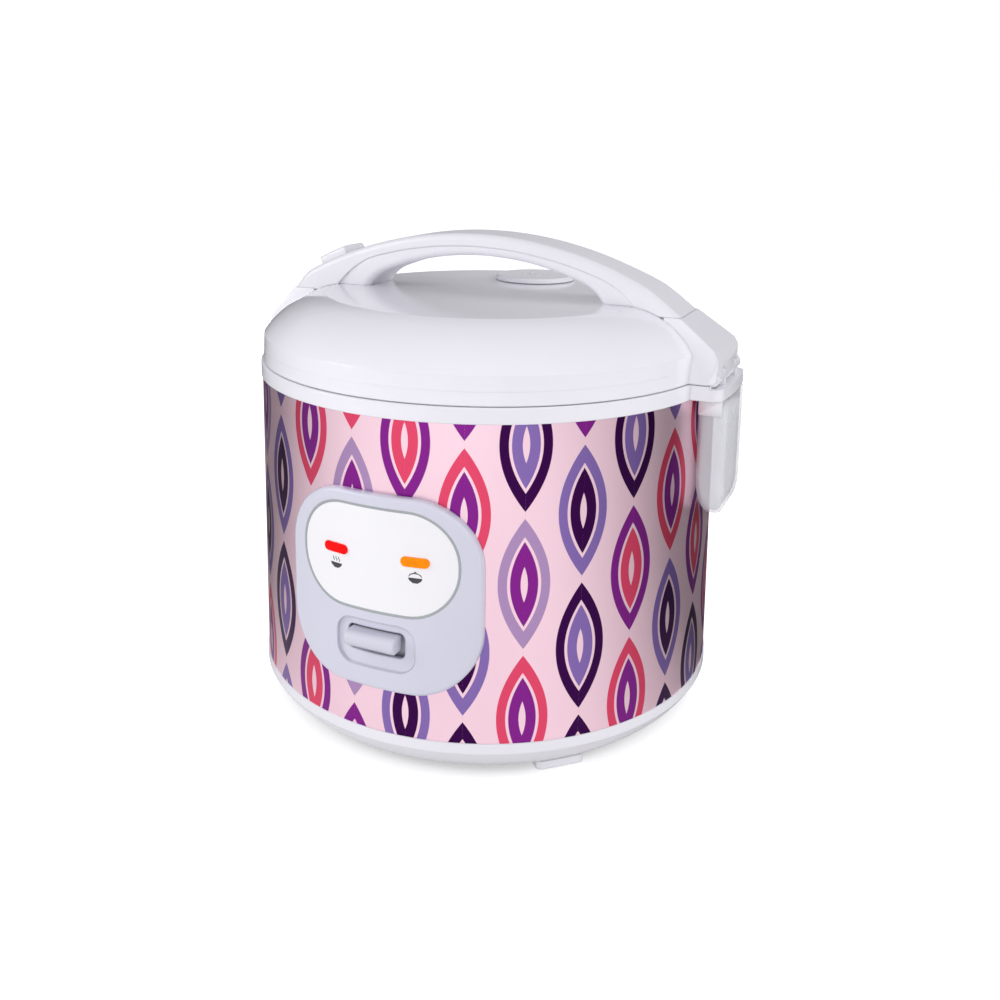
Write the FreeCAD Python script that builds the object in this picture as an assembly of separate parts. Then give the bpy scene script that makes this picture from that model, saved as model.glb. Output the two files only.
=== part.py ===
"""Household rice cooker with a printed steel sleeve, a hinged lid with a bow handle,
a clear dew collector below the hinge and a one-lever control panel.

Millimetres. The origin is on the body's axis at counter level, +Z is up, +X points to the
hinge and -Y to the control panel. Each piece is a function that returns one shape.
"""
import FreeCAD
import Part
import os
from math import asin, atan2, cos, radians, sin, sqrt
from FreeCAD import Vector

# Body: heights are stacked from the counter upwards
body_radius = 131.0
sleeve_wall = 0.8
foot_height = 3.0
base_height = 19.0
sleeve_height = 163.0
ring_band = 8.0
base_tuck = 12.0
base_bulge = 0.56
base_band = 5.5
base_flare = 0.5
plastic_wall = 2.5
collar_height = 8.0
ring_lip = 0.7
foot_count = 3
foot_first_angle = -47.0
foot_width = 26.0
foot_depth = 12.0
foot_overhang = 2.2
vent_count = 12
vent_length = 22.0
vent_width = 4.0
vent_radius = 46.0
snug = 0.2
running = 0.05
clearance = 0.4

# Pot, inner case and heater
pot_inset = 25.0
pot_wall = 1.6
pot_floor = 66.0
pot_corner = 24.0
pot_rim_width = 5.0
pot_rim_drop = 5.5
pot_room = 1.0
rim_room = 2.5
ledge = 2.0
case_room = 4.0
case_wall = 0.8
case_corner = 26.0
case_flange_width = 4.0
case_hole_gap = 5.0
plate_inset = 2.0
plate_thickness = 10.0
plate_boss = 5.2
plate_boss_inset = 10.0
plate_boss_width = 12.0
plate_bore = 21.0
support_count = 3
support_inset = 4.0
support_radius = 5.0
screw_radius = 1.6
screw_head_radius = 3.4
screw_head_height = 1.6
terminal_radius = 3.2
terminal_inset = 12.0
terminal_spread = 22.0
terminal_length = 17.0
terminal_tab = 6.0
band_height = 18.0
band_thickness = 1.2
band_above_floor = 60.0
band_lug = 6.0
band_lug_half = 1.5
fuse_length = 24.0
fuse_width = 9.0
fuse_height = 7.0
fuse_offset = 40.0

# Thermostat in the middle of the heater
cap_radius = 19.0
cap_height = 5.0
cap_drop = 0.3
stem_radius = 12.0
stem_wall = 2.0
stem_length = 20.0
guide_wall = 2.0
guide_length = 7.0
guide_flange = 27.0
guide_flange_height = 2.0
spring_wire = 1.4
spring_turns = 3
spring_radius = 15.6
magnet_radius = 9.0
magnet_height = 9.0
magnet_rise = 4.6
rod_radius = 2.5
rod_length = 14.0
rod_collar_radius = 5.0
rod_collar_height = 2.0
rod_collar_gap = 0.6

# Cooking lever and its switch
lever_pivot_inset = 61.0
lever_pivot_z = 35.0
lever_pin_radius = 2.0
lever_hub_radius = 5.0
lever_thick = 4.0
lever_width = 12.0
lever_riser_inset = 11.5
lever_bar_width = 28.0
lever_bar_height = 8.0
lever_bar_z = 72.8
lever_bar_round = 1.2
lever_proud = 6.0
lever_fork_y = 8.0
cheek_gap = 0.6
cheek_thick = 1.6
cheek_length = 18.0
switch_inset = 34.0
switch_length = 20.0
switch_width = 10.0
switch_gap = 1.5

# Control panel on the sleeve, centred on -Y
bezel_half_width = 53.2
bezel_bottom = 46.5
bezel_height = 100.7
bezel_corner = 34.0
bezel_thick = 4.5
bezel_round = 2.0
plate_half_width = 43.7
plate_bottom = 87.4
plate_height = 53.6
panel_plate_thick = 1.0
panel_plate_sink = 0.2
lamp_spacing = 22.2
lamp_z = 116.3
lamp_length = 14.4
lamp_height = 4.8
lamp_proud = 0.7
slot_half_width = 16.0
slot_bottom = 64.3
slot_height = 13.4
dish_half_width = 22.0
dish_bottom = 57.5
dish_height = 24.5
dish_corner = 9.0
dish_depth = 2.0
board_inset = 13.0
board_thick = 1.6
board_half_width = 33.0
board_height = 18.0
bulb_radius = 2.4
bulb_length = 9.0

# Mains inlet at the back
inlet_half_width = 13.0
inlet_bottom = 34.0
inlet_height = 22.0
inlet_depth = 24.0
inlet_wall = 2.0
inlet_flange = 4.0
inlet_flange_thick = 2.0
inlet_proud = 6.5
inlet_socket_depth = 17.0
blade_width = 4.0
blade_thick = 2.0
blade_length = 13.0
blade_spacing = 7.0
blade_drop = 4.0

# Lid
lid_gap = 0.4
lid_skirt = 14.4
lid_rim_inset = 0.7
crease_inset = 1.3
dome_rise = 21.1
dome_bulge = 4.3
dome_run = 35.4
lid_wall = 2.2
liner_gap = 0.7
liner_thick = 2.2
lid_post_radius = 4.0
lid_post_inset = 31.4
lid_screw_length = 12.0
inner_lid_overlap = 2.0
inner_lid_thick = 1.0
inner_lid_step = 0.6
inner_lid_edge = 13.0
inner_lid_hole = 1.5
inner_lid_hole_pitch = 4.0
seal_grip = 2.5
seal_room = 1.2
seal_lift = 0.4
seal_lip = 0.8
grommet_radius = 9.0
grommet_neck = 6.0
grommet_foot = 2.2

# Bow handle, from the front block over the lid to the hinge block
handle_rise = 34.6
handle_drop = 26.45
bow_x = -4.4
handle_half_width = 16.5
handle_flare = 3.0
flare_before = 14.3
flare_after = 11.7
handle_edge = 4.0
cover_thick = 7.2
cover_sink = 3.9
grip_inset = 0.4
grip_depth = 12.6
grip_radius = 165.0
grip_reach_inset = 32.3
grip_foot_inset = 18.8
grip_foot_overhang = 2.7
seam_turn_inset = 24.3
seam_bend = 0.36
grip_edge = 4.0
front_overhang = 10.6
front_face_height = 9.6
front_run = 21.6
front_knee_drop = 2.9
front_bend = 8.0
front_half_width = 26.0
tail_run = 34.0
tail_bend = 8.0
tail_slope = 0.745
block_overhang = 10.9
block_shoulder = 3.5
block_half_width = 31.0
block_corner = 7.0
block_belly = 1.3
block_wall = 2.2

# Lid hinge at the outer lower edge of the hinge block
hinge_inset = 4.0
hinge_above_ring = 3.0
hinge_pin_radius = 2.0
barrel_radius = 4.2
arm_inner = 11.0
arm_width = 6.0
arm_gap = 0.6
barrel_end = 26.0
trough_gap = 0.9
bracket_overhang = 3.7
bracket_lip = 1.6

# Latch in the front block
latch_above_crease = 7.2
latch_pin_radius = 1.5
latch_boss = 4.0
latch_spring_radius = 2.8
latch_spring_wire = 0.6
latch_spring_turns = 2
latch_spring_gap = 0.3
latch_half_width = 9.0
latch_stem = 3.5
latch_side_gap = 3.5
nose_reach = 1.6
nose_height = 3.0
catch_inset = 4.7
catch_slot_length = 8.4
latch_way_gap = 6.7
button_low_gap = 13.7
button_high_gap = 3.3
button_half_width = 11.0
button_proud = 5.2
button_depth = 4.0
button_swing = 3.0
button_skirt = 3.0
button_round = 2.4
latch_arm_gap = 0.3
latch_arm_width = 6.0
latch_arm_thick = 4.5
cavity_gap = 0.5
cheek_wall = 3.5

# Dew collector
collector_half_width = 22.5
collector_height = 64.5
collector_overhang = 14.6
collector_wall = 1.6
collector_corner = 15.0
collector_off_sleeve = 0.7
collector_top_gap = 0.4
plug_depth = 8.5
plug_side_gap = 1.5
plug_inset = 4.0
plug_outer_gap = 5.8
drain_radius = 2.2

# Steam vent
vent_x = 4.0
vent_inset = 34.3
vent_cap_radius = 25.0
vent_cap_height = 2.8
vent_cap_edge = 1.2
vent_plug_radius = 17.0
vent_plug_depth = 14.0
vent_seat_radius = 19.8
vent_seat_flange = 25.0
vent_seat_depth = 17.0
vent_pipe_radius = 8.0
vent_slot_length = 8.0
vent_slot_width = 2.2
vent_slot_pitch = 5.0

# Heights that follow from the stack
sleeve_bottom = foot_height + base_height
sleeve_top = sleeve_bottom + sleeve_height
ring_top = sleeve_top + ring_band
lid_bottom = ring_top + lid_gap
crease_z = lid_bottom + lid_skirt
plateau_z = crease_z + dome_rise
base_floor = foot_height + plastic_wall
pot_seat = ring_top - pot_rim_drop
rim_top = pot_seat + 1.5
case_floor = pot_floor - plate_thickness - plate_boss - case_wall
liner_bottom = lid_bottom + lid_gap
liner_top = liner_bottom + liner_thick
hinge_z = ring_top + hinge_above_ring
band_z = case_floor + band_above_floor
handle_top = plateau_z + handle_rise
cover_seat = plateau_z - cover_sink
grip_top = handle_top - grip_depth
front_shoulder = lid_bottom + front_face_height
latch_z = crease_z + latch_above_crease
collector_bottom = sleeve_top - collector_height

# Radii that follow from the body's radius
sleeve_inner = body_radius - sleeve_wall
base_foot_radius = body_radius - base_tuck
foot_outer_radius = base_foot_radius + foot_overhang
panel_radius = body_radius + bezel_thick
pot_radius = body_radius - pot_inset
pot_rim = pot_radius + pot_rim_width
ring_mouth = pot_radius + pot_room
ring_well = pot_rim + rim_room
case_radius = pot_radius + case_room
case_flange = case_radius + case_flange_width
plate_radius = pot_radius - pot_corner - plate_inset
plate_boss_outer = plate_radius - plate_boss_inset
plate_boss_inner = plate_boss_outer - plate_boss_width
support_circle = plate_radius - support_inset
terminal_circle = plate_boss_inner - terminal_inset
lid_rim_radius = body_radius - lid_rim_inset
crease_radius = body_radius - crease_inset
plateau_radius = crease_radius - dome_run
liner_radius = lid_rim_radius - lid_wall - liner_gap
lid_post_circle = liner_radius - lid_post_inset
inner_lid_radius = pot_radius + inner_lid_overlap
inner_lid_flat = inner_lid_radius - inner_lid_edge
seal_inner = inner_lid_radius - seal_grip
seal_outer = ring_well - seal_room

# Stations along the panel's line, -Y
lever_pivot_y = lever_pivot_inset - body_radius
lever_riser_y = lever_riser_inset - body_radius
lever_bar_reach = panel_radius + lever_proud
switch_y = switch_inset - body_radius
board_y = board_inset - body_radius
vent_y = plateau_radius - vent_inset

# Stations along the handle's line, X
front_reach = body_radius + front_overhang
front_knee_x = front_reach - front_run
block_reach = body_radius + block_overhang
block_shoulder_x = block_reach - block_shoulder
tail_knee = block_shoulder_x - tail_run
tail_start = tail_knee - tail_bend
bracket_reach = block_reach + bracket_overhang
hinge_x = block_reach - hinge_inset
flare_start = plateau_radius - flare_before
flare_end = plateau_radius + flare_after
grip_reach = plateau_radius - grip_reach_inset
grip_foot_inner = plateau_radius - grip_foot_inset
grip_foot_outer = plateau_radius + grip_foot_overhang
seam_turn = plateau_radius - seam_turn_inset
latch_x = -front_knee_x
catch_edge = -ring_well - catch_inset
catch_slot_outer = catch_edge - catch_slot_length
latch_way_end = -plateau_radius - latch_way_gap
button_low = -plateau_radius - button_low_gap
button_high = -plateau_radius + button_high_gap
latch_arm_end = -plateau_radius + latch_arm_gap
cavity_front = latch_x + cavity_gap
plug_half_width = collector_half_width - collector_wall - plug_side_gap
plug_inner = body_radius + plug_inset
collector_reach = body_radius + collector_overhang
plug_outer = collector_reach - plug_outer_gap

# The bow is an arc through the handle's top and the point where the front end bends down
front_arc = front_knee_x - front_bend
handle_radius = ((front_arc + bow_x) ** 2 + handle_drop ** 2) / (2 * handle_drop)
arc_centre = handle_top - handle_radius
grip_centre = grip_top - grip_radius


def xz(a, b):
    return Vector(a, 0, b)


def xy(a, b):
    return Vector(a, b, 0)


def yz(a, b):
    return Vector(0, a, b)


def flat(place, start, *legs):
    """A face from a closed outline; a leg is an end point, or a pair (middle, end) for an arc."""
    here = place(*start)
    first = here
    edges = []
    for leg in legs:
        if isinstance(leg[0], tuple):
            there = place(*leg[1])
            edges.append(Part.Arc(here, place(*leg[0]), there).toShape())
        else:
            there = place(*leg)
            edges.append(Part.LineSegment(here, there).toShape())
        here = there
    if (here - first).Length > 1e-6:
        edges.append(Part.LineSegment(here, first).toShape())
    return Part.Face(Part.Wire(edges))


def turned(start, *legs):
    """A solid of revolution about the body's axis from an outline of (radius, height)."""
    return flat(xz, start, *legs).revolve(Vector(0, 0, 0), Vector(0, 0, 1), 360)


def slab(half_width, start, *legs):
    """An outline in the X-Z plane, thickened evenly about the handle's middle plane."""
    face = flat(xz, start, *legs)
    face.translate(Vector(0, -half_width, 0))
    return face.extrude(Vector(0, 2 * half_width, 0))


def block(x0, x1, y0, y1, z0, z1):
    return Part.makeBox(x1 - x0, y1 - y0, z1 - z0, Vector(x0, y0, z0))


def drum(radius, z0, z1, x=0, y=0):
    return Part.makeCylinder(radius, z1 - z0, Vector(x, y, z0))


def tube(inner, outer, z0, z1, x=0, y=0):
    return drum(outer, z0, z1, x, y).cut(drum(inner, z0, z1, x, y))


def rod_y(x, z, radius, y0, y1):
    return Part.makeCylinder(radius, y1 - y0, Vector(x, y0, z), Vector(0, 1, 0))


def rod_x(y, z, radius, x0, x1):
    return Part.makeCylinder(radius, x1 - x0, Vector(x0, y, z), Vector(1, 0, 0))


def joined(first, *others):
    return first.fuse(list(others)).removeSplitter()


def turned_about_axis(shape, angle):
    copy = shape.copy()
    copy.rotate(Vector(0, 0, 0), Vector(0, 0, 1), angle)
    return copy


def both_sides(shape):
    """A piece and its mirror image across the handle's middle plane."""
    return [shape, shape.mirror(Vector(0, 0, 0), Vector(0, 1, 0))]


def on_arc(x, radius, centre):
    return centre + sqrt(radius ** 2 - x ** 2)


def on_bow(x, radius):
    """Height of the handle's bow, or of a line inside it with a smaller radius, at a station."""
    return on_arc(x - bow_x, radius, arc_centre)


def bow_top(radius):
    return (bow_x, arc_centre + radius)


def rounded(half_width, bottom, height, corner):
    """A prism with a rounded outline that runs from the body's axis out through the panel."""
    top = bottom + height
    side = half_width - corner
    low = bottom + corner
    high = top - corner
    k = corner * (1 - sqrt(0.5))
    face = flat(xz, (-side, bottom), (side, bottom), ((half_width - k, bottom + k), (half_width, low)),
                (half_width, high), ((half_width - k, top - k), (side, top)), (-side, top),
                ((-half_width + k, top - k), (-half_width, high)), (-half_width, low),
                ((-half_width + k, bottom + k), (-side, bottom)))
    return face.extrude(Vector(0, -2 * body_radius, 0))


def panel_layer(prism, inner, outer):
    """The part of a prism that lies between two radii on the panel's side of the body."""
    high = sleeve_top
    return tube(inner, outer, 0, high).common(prism)


# Body pieces

def make_base():
    band_z0 = sleeve_bottom - base_band
    outer = body_radius + base_flare
    collar = sleeve_inner - snug
    inner = collar - plastic_wall
    low = (base_foot_radius + (outer - base_foot_radius) * base_bulge,
           foot_height + (band_z0 - foot_height) * (1 - base_bulge))
    inner_low = (low[0] - plastic_wall, low[1] + plastic_wall)
    shell = turned((0, foot_height), (base_foot_radius, foot_height), (low, (outer, band_z0)),
                   (outer, sleeve_bottom), (collar, sleeve_bottom), (collar, sleeve_bottom + collar_height),
                   (inner, sleeve_bottom + collar_height), (inner, band_z0 + plastic_wall),
                   (inner_low, (base_foot_radius - plastic_wall, base_floor)), (0, base_floor))
    foot = block(foot_outer_radius - foot_depth, foot_outer_radius, -foot_width / 2, foot_width / 2,
                 0, foot_height + plastic_wall / 2)
    upright = [e for e in foot.Edges if abs(e.tangentAt(e.FirstParameter).z) > 0.99]
    foot = foot.makeFillet(foot_depth / 4, upright)
    feet = []
    for i in range(foot_count):
        feet.append(turned_about_axis(foot, foot_first_angle + 360 * i / foot_count))
    shell = joined(shell, *feet)
    slot = block(vent_radius, vent_radius + vent_length, -vent_width / 2, vent_width / 2, 0, base_floor + 1)
    cuts = [turned_about_axis(slot, 360 * (i + 0.5) / vent_count) for i in range(vent_count)]
    for x, y in support_places():
        cuts.append(drum(screw_radius, 0, base_floor + 1, x, y))
    return shell.cut(cuts)


def make_outer_shell():
    shell = tube(sleeve_inner, body_radius, sleeve_bottom, sleeve_top)
    lever_window = rounded(slot_half_width + 1, slot_bottom - 1, slot_height + 2, 2)
    lamp_window = rounded(board_half_width + 1, lamp_z - board_height / 2, board_height, 2)
    inlet_hole = block(-inlet_half_width, inlet_half_width, 0, 2 * body_radius,
                       inlet_bottom, inlet_bottom + inlet_height)
    return shell.cut([lever_window, lamp_window, inlet_hole])


def hinge_plan(reach, half_width, z0, z1):
    """The hinge block's plan: straight sides, round corners and a gently bowed outer face."""
    corner_x = reach - block_belly - block_corner
    k = block_corner * (1 - sqrt(0.5))
    inner = lid_rim_radius - 3 * block_corner
    edge = half_width - block_corner
    face = flat(xy, (inner, -half_width), (corner_x, -half_width),
                ((reach - block_belly - k, -half_width + k), (reach - block_belly, -edge)),
                ((reach, 0), (reach - block_belly, edge)),
                ((reach - block_belly - k, half_width - k), (corner_x, half_width)),
                (inner, half_width))
    face.translate(Vector(0, 0, z0))
    return face.extrude(Vector(0, 0, z1 - z0))


def make_upper_ring():
    collar = sleeve_inner - snug
    inner = collar - plastic_wall
    outer = body_radius + ring_lip
    round_off = ring_lip
    web = ring_well + plastic_wall
    ring = turned((ring_mouth, pot_seat), (ring_well, pot_seat), (ring_well, ring_top),
                  (outer - round_off, ring_top), (outer, ring_top - round_off), (outer, sleeve_top),
                  (collar, sleeve_top), (collar, sleeve_top - collar_height),
                  (inner, sleeve_top - collar_height), (inner, ring_top - plastic_wall),
                  (web, ring_top - plastic_wall), (web, pot_seat - ledge), (ring_mouth, pot_seat - ledge))
    bracket = hinge_plan(bracket_reach, block_half_width, sleeve_top, ring_top)
    bracket = bracket.cut(drum(inner, 0, plateau_z))
    plug = block(plug_inner, plug_outer, -plug_half_width, plug_half_width,
                 sleeve_top - plug_depth, sleeve_top)
    ring = joined(ring, bracket, plug)
    trough = rod_y(hinge_x, hinge_z, barrel_radius + trough_gap, -barrel_end - arm_gap, barrel_end + arm_gap)
    lip = block(hinge_x, bracket_reach + 1, -block_half_width - 1, block_half_width + 1,
                ring_top - bracket_lip, ring_top + 1)
    drain = drum(drain_radius, 0, ring_top + 1, (plug_inner + plug_outer) / 2)
    catch = block(catch_slot_outer, catch_edge, -latch_half_width - latch_side_gap - 1,
                  latch_half_width + latch_side_gap + 1, pot_seat, ring_top + 1)
    ring = ring.cut([trough, lip, drain, catch])
    arm = joined(rod_y(hinge_x, hinge_z, barrel_radius, arm_inner, arm_inner + arm_width),
                 block(hinge_x - barrel_radius, hinge_x + barrel_radius, arm_inner, arm_inner + arm_width,
                       sleeve_top + plastic_wall, hinge_z))
    ring = joined(ring, *both_sides(arm))
    return ring.cut(rod_y(hinge_x, hinge_z, hinge_pin_radius, -barrel_end, barrel_end))


def make_inner_case():
    outer = case_radius
    inner = case_radius - case_wall
    k = case_corner * (1 - sqrt(0.5))
    floor = case_floor
    seat = pot_seat - ledge
    ki = (case_corner - case_wall) * (1 - sqrt(0.5))
    case = turned((cap_radius + case_hole_gap, floor), (outer - case_corner, floor),
                  ((outer - k, floor + k), (outer, floor + case_corner)), (outer, seat - case_wall),
                  (case_flange, seat - case_wall), (case_flange, seat), (inner, seat),
                  (inner, floor + case_corner),
                  ((inner - ki, floor + case_wall + ki), (outer - case_corner, floor + case_wall)),
                  (cap_radius + 5, floor + case_wall))
    holes = [drum(terminal_radius + clearance, 0, pot_floor, x, y) for x, y in terminal_places()]
    holes += [drum(screw_radius, 0, pot_floor, x, y) for x, y in support_places()]
    return case.cut(holes)


def make_inner_pot():
    outer = pot_radius
    inner = pot_radius - pot_wall
    k = pot_corner * (1 - sqrt(0.5))
    ki = (pot_corner - pot_wall) * (1 - sqrt(0.5))
    floor = pot_floor
    return turned((0, floor), (outer - pot_corner, floor),
                  ((outer - k, floor + k), (outer, floor + pot_corner)), (outer, pot_seat),
                  (pot_rim, pot_seat), (pot_rim, rim_top), (inner, rim_top),
                  (inner, floor + pot_corner),
                  ((inner - ki, floor + pot_wall + ki), (outer - pot_corner, floor + pot_wall)),
                  (0, floor + pot_wall))


def make_heating_plate():
    low = pot_floor - plate_thickness
    boss = low - plate_boss
    rim = 1.5
    plate = turned((plate_bore, low), (plate_boss_inner, low), (plate_boss_inner + rim, boss),
                   (plate_boss_outer - rim, boss), (plate_boss_outer, low), (plate_radius - 2 * rim, low),
                   (plate_radius, low + 2 * rim), (plate_radius, pot_floor - rim),
                   (plate_radius - rim, pot_floor), (plate_bore, pot_floor))
    holes = [drum(screw_radius, 0, pot_floor - rim, x, y) for x, y in support_places()]
    return plate.cut(holes)


def terminal_places():
    x = terminal_circle * sin(radians(terminal_spread))
    y = terminal_circle * cos(radians(terminal_spread))
    return [(x, y), (-x, y)]


def support_places():
    places = []
    for i in range(support_count):
        angle = radians(90 + 360 * i / support_count)
        places.append((support_circle * cos(angle), support_circle * sin(angle)))
    return places


def make_heater_terminals():
    top = pot_floor - plate_thickness
    studs = []
    for x, y in terminal_places():
        stud = drum(terminal_radius, top - terminal_length, top, x, y)
        tab = block(x - 1, x + 1, y - terminal_radius, y + terminal_radius,
                    top - terminal_length - terminal_tab, top - terminal_length)
        studs.append(joined(stud, tab))
    return Part.makeCompound(studs)


def make_heater_supports():
    posts = []
    for x, y in support_places():
        post = drum(support_radius, base_floor, case_floor, x, y)
        posts.append(post.cut(drum(screw_radius, base_floor, case_floor, x, y)))
    return Part.makeCompound(posts)


def make_base_screws():
    screws = []
    for x, y in support_places():
        shank = drum(screw_radius, foot_height, case_floor, x, y)
        head = drum(screw_head_radius, foot_height - screw_head_height, foot_height, x, y)
        screws.append(joined(shank, head))
    return Part.makeCompound(screws)


def make_warming_band():
    band = tube(case_radius, case_radius + band_thickness, band_z, band_z + band_height)
    lug = block(case_radius, case_radius + band_lug, -band_lug_half, band_lug_half, band_z, band_z + band_height)
    lug = lug.cut(drum(case_radius, 0, plateau_z))
    return joined(band, lug)


def make_thermal_fuse():
    top = case_floor
    y = -fuse_offset
    half = fuse_width / 2
    body = block(-2 * fuse_length, -fuse_length * 7 / 6, y - half, y + half, top - fuse_height, top)
    along = [e for e in body.Edges if abs(e.tangentAt(e.FirstParameter).x) > 0.99]
    return body.makeFillet(fuse_width / 4, [e for e in along if e.CenterOfMass.z < top - 1])


# Thermostat

def guide_top():
    return case_floor


def make_thermostat_guide():
    top = guide_top()
    inner = stem_radius + clearance
    outer = inner + guide_wall
    under = top - guide_flange_height
    return turned((inner, top - guide_length), (outer, top - guide_length), (outer, under),
                  (guide_flange, under), (guide_flange, top), (inner, top))


def make_thermostat_cap():
    top = pot_floor - cap_drop
    under = top - cap_height
    rim = 1.0
    stem_inner = stem_radius - stem_wall
    return turned((0, top), (cap_radius - rim, top), (cap_radius, top - rim), (cap_radius, under),
                  (stem_radius, under), (stem_radius, top - stem_length), (stem_inner, top - stem_length),
                  (stem_inner, under), (0, under))


def coil(radius, wire, turns, start, end):
    """A spring of a round wire along +Z, wound from quarter-turn arcs, with its ends closed."""
    low = start + wire / 2
    rise = (end - start - wire) / turns
    quarters = 4 * turns

    def at(quarter):
        angle = radians(90 * quarter)
        return Vector(radius * cos(angle), radius * sin(angle), low + rise * quarter / 4)

    arcs = [Part.Arc(at(q), at(q + 0.5), at(q + 1)).toShape() for q in range(quarters)]
    path = Part.Wire(arcs)
    heading = arcs[0].tangentAt(arcs[0].FirstParameter)
    section = Part.Wire(Part.makeCircle(wire / 2, at(0), heading))
    print("spring", radius, "turn gap", round(rise - wire, 2))
    return path.makePipeShell([section], True, False)


def make_thermostat_spring():
    return coil(spring_radius, spring_wire, spring_turns, guide_top(), pot_floor - cap_drop - cap_height)


def magnet_top():
    return pot_floor - cap_drop - cap_height - magnet_rise - 1.5


def make_magnet():
    top = magnet_top()
    low = top - magnet_height
    keeper = drum(magnet_radius, low, top)
    rod = drum(rod_radius, low - rod_length, low)
    collar_z = lever_pivot_z + lever_thick / 2 + rod_collar_gap
    collar = drum(rod_collar_radius, collar_z, collar_z + rod_collar_height)
    return joined(keeper, rod, collar)


# Cooking lever and switch

def make_cook_lever():
    half = lever_width / 2
    z0 = lever_pivot_z - lever_thick / 2
    z1 = lever_pivot_z + lever_thick / 2
    riser = lever_riser_y
    arm = block(-half, half, riser, lever_fork_y, z0, z1)
    hub = rod_x(lever_pivot_y, lever_pivot_z, lever_hub_radius, -half, half)
    neck_z0 = lever_bar_z - lever_thick / 2
    upright = block(-half, half, riser - lever_thick / 2, riser + lever_thick / 2, z0, neck_z0 + lever_thick)
    neck = block(-half, half, -lever_bar_reach + lever_bar_height, riser, neck_z0, neck_z0 + lever_thick)
    bar_half = lever_bar_width / 2
    nose = lever_bar_height / 2
    tip = -lever_bar_reach
    root = tip + 2 * nose + 1
    face = flat(yz, (root, lever_bar_z - nose), (tip + nose, lever_bar_z - nose),
                ((tip, lever_bar_z), (tip + nose, lever_bar_z + nose)), (root, lever_bar_z + nose))
    face.translate(Vector(-bar_half, 0, 0))
    bar = face.extrude(Vector(lever_bar_width, 0, 0))
    ends = [e for e in bar.Edges if abs(e.tangentAt(e.FirstParameter).x) < 0.01]
    nose_ends = [e for e in ends if e.BoundBox.YLength > nose - 0.5 and e.CenterOfMass.y < tip + nose]
    bar = bar.makeFillet(lever_bar_round, nose_ends)
    lever = joined(arm, hub, upright, neck, bar)
    gap = rod_radius + clearance
    slot = block(-gap, gap, -rod_radius - 1, lever_fork_y + 1, z0 - 1, z1 + 1)
    bore = rod_x(lever_pivot_y, lever_pivot_z, lever_pin_radius + running, -half, half)
    return lever.cut([slot, bore])


def cheek_face():
    return lever_width / 2 + cheek_gap


def make_lever_pin():
    end = cheek_face() + cheek_thick
    return rod_x(lever_pivot_y, lever_pivot_z, lever_pin_radius, -end, end)


def make_switch_bracket():
    inner = cheek_face()
    outer = inner + cheek_thick
    y0 = lever_pivot_y - cheek_length / 2
    y1 = lever_pivot_y + cheek_length / 2
    cheek = block(inner, outer, y0, y1, base_floor, lever_pivot_z + lever_hub_radius)
    foot = block(-outer, outer, y0, y1, base_floor, base_floor + cheek_thick)
    rail = block(-inner, inner, switch_y - switch_length / 2, y0 + cheek_thick,
                 base_floor, base_floor + cheek_thick)
    bracket = joined(foot, rail, cheek, cheek.mirror(Vector(0, 0, 0), Vector(1, 0, 0)))
    return bracket.cut(rod_x(lever_pivot_y, lever_pivot_z, lever_pin_radius, -outer, outer))


def make_micro_switch():
    top = lever_pivot_z - lever_thick / 2 - switch_gap
    y0 = switch_y - switch_length / 2
    y1 = switch_y + switch_length / 2
    half = switch_width / 2
    plunger_height = 3.0
    body = block(-half, half, y0, y1, base_floor + cheek_thick, top - plunger_height)
    plunger = drum(1.6, top - plunger_height, top, 0, switch_y + switch_length / 4)
    return joined(body, plunger)


# Control panel

def make_panel_bezel():
    outline = rounded(bezel_half_width, bezel_bottom, bezel_height, bezel_corner)
    bezel = panel_layer(outline, body_radius, panel_radius)
    rim = [e for e in bezel.Edges if on_radius(e, panel_radius)]
    bezel = bezel.makeFillet(bezel_round, rim)
    plate_seat = panel_radius - panel_plate_sink - panel_plate_thick
    pocket = panel_layer(plate_outline(snug), plate_seat, panel_radius + 1)
    dish = panel_layer(rounded(dish_half_width, dish_bottom, dish_height, dish_corner),
                       panel_radius - dish_depth, panel_radius + 1)
    window = rounded(slot_half_width, slot_bottom, slot_height, 3.0)
    return bezel.cut([pocket, dish, window, lamp_prism(-1), lamp_prism(1)])


def on_radius(edge, radius):
    point = edge.valueAt((edge.FirstParameter + edge.LastParameter) / 2)
    return abs(sqrt(point.x ** 2 + point.y ** 2) - radius) < 0.01


def plate_outline(grow):
    corner = plate_height / 2 - 1.0
    return rounded(plate_half_width + grow, plate_bottom - grow, plate_height + 2 * grow, corner + grow)


def lamp_prism(side):
    prism = rounded(lamp_length / 2, lamp_z - lamp_height / 2, lamp_height, lamp_height / 2 - 0.1)
    prism.translate(Vector(side * lamp_spacing, 0, 0))
    return prism


def make_panel_plate():
    outer = panel_radius - panel_plate_sink
    plate = panel_layer(plate_outline(0), outer - panel_plate_thick, outer)
    return plate.cut([lamp_prism(-1), lamp_prism(1)])


def make_lamp_lens(side):
    return panel_layer(lamp_prism(side), body_radius, panel_radius - panel_plate_sink + lamp_proud)


def make_lamp_board():
    board = block(-board_half_width, board_half_width, board_y, board_y + board_thick,
                  lamp_z - board_height / 2, lamp_z + board_height / 2)
    edge = sqrt(sleeve_inner ** 2 - board_half_width ** 2)
    legs = []
    for side in (-1, 1):
        x = side * board_half_width
        leg = block(min(x, x - side * 4), max(x, x - side * 4), -edge - 2, board_y,
                    lamp_z - board_height / 2, lamp_z + board_height / 2)
        legs.append(leg.common(drum(sleeve_inner, 0, sleeve_top)))
    return joined(board, *legs)


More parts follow.
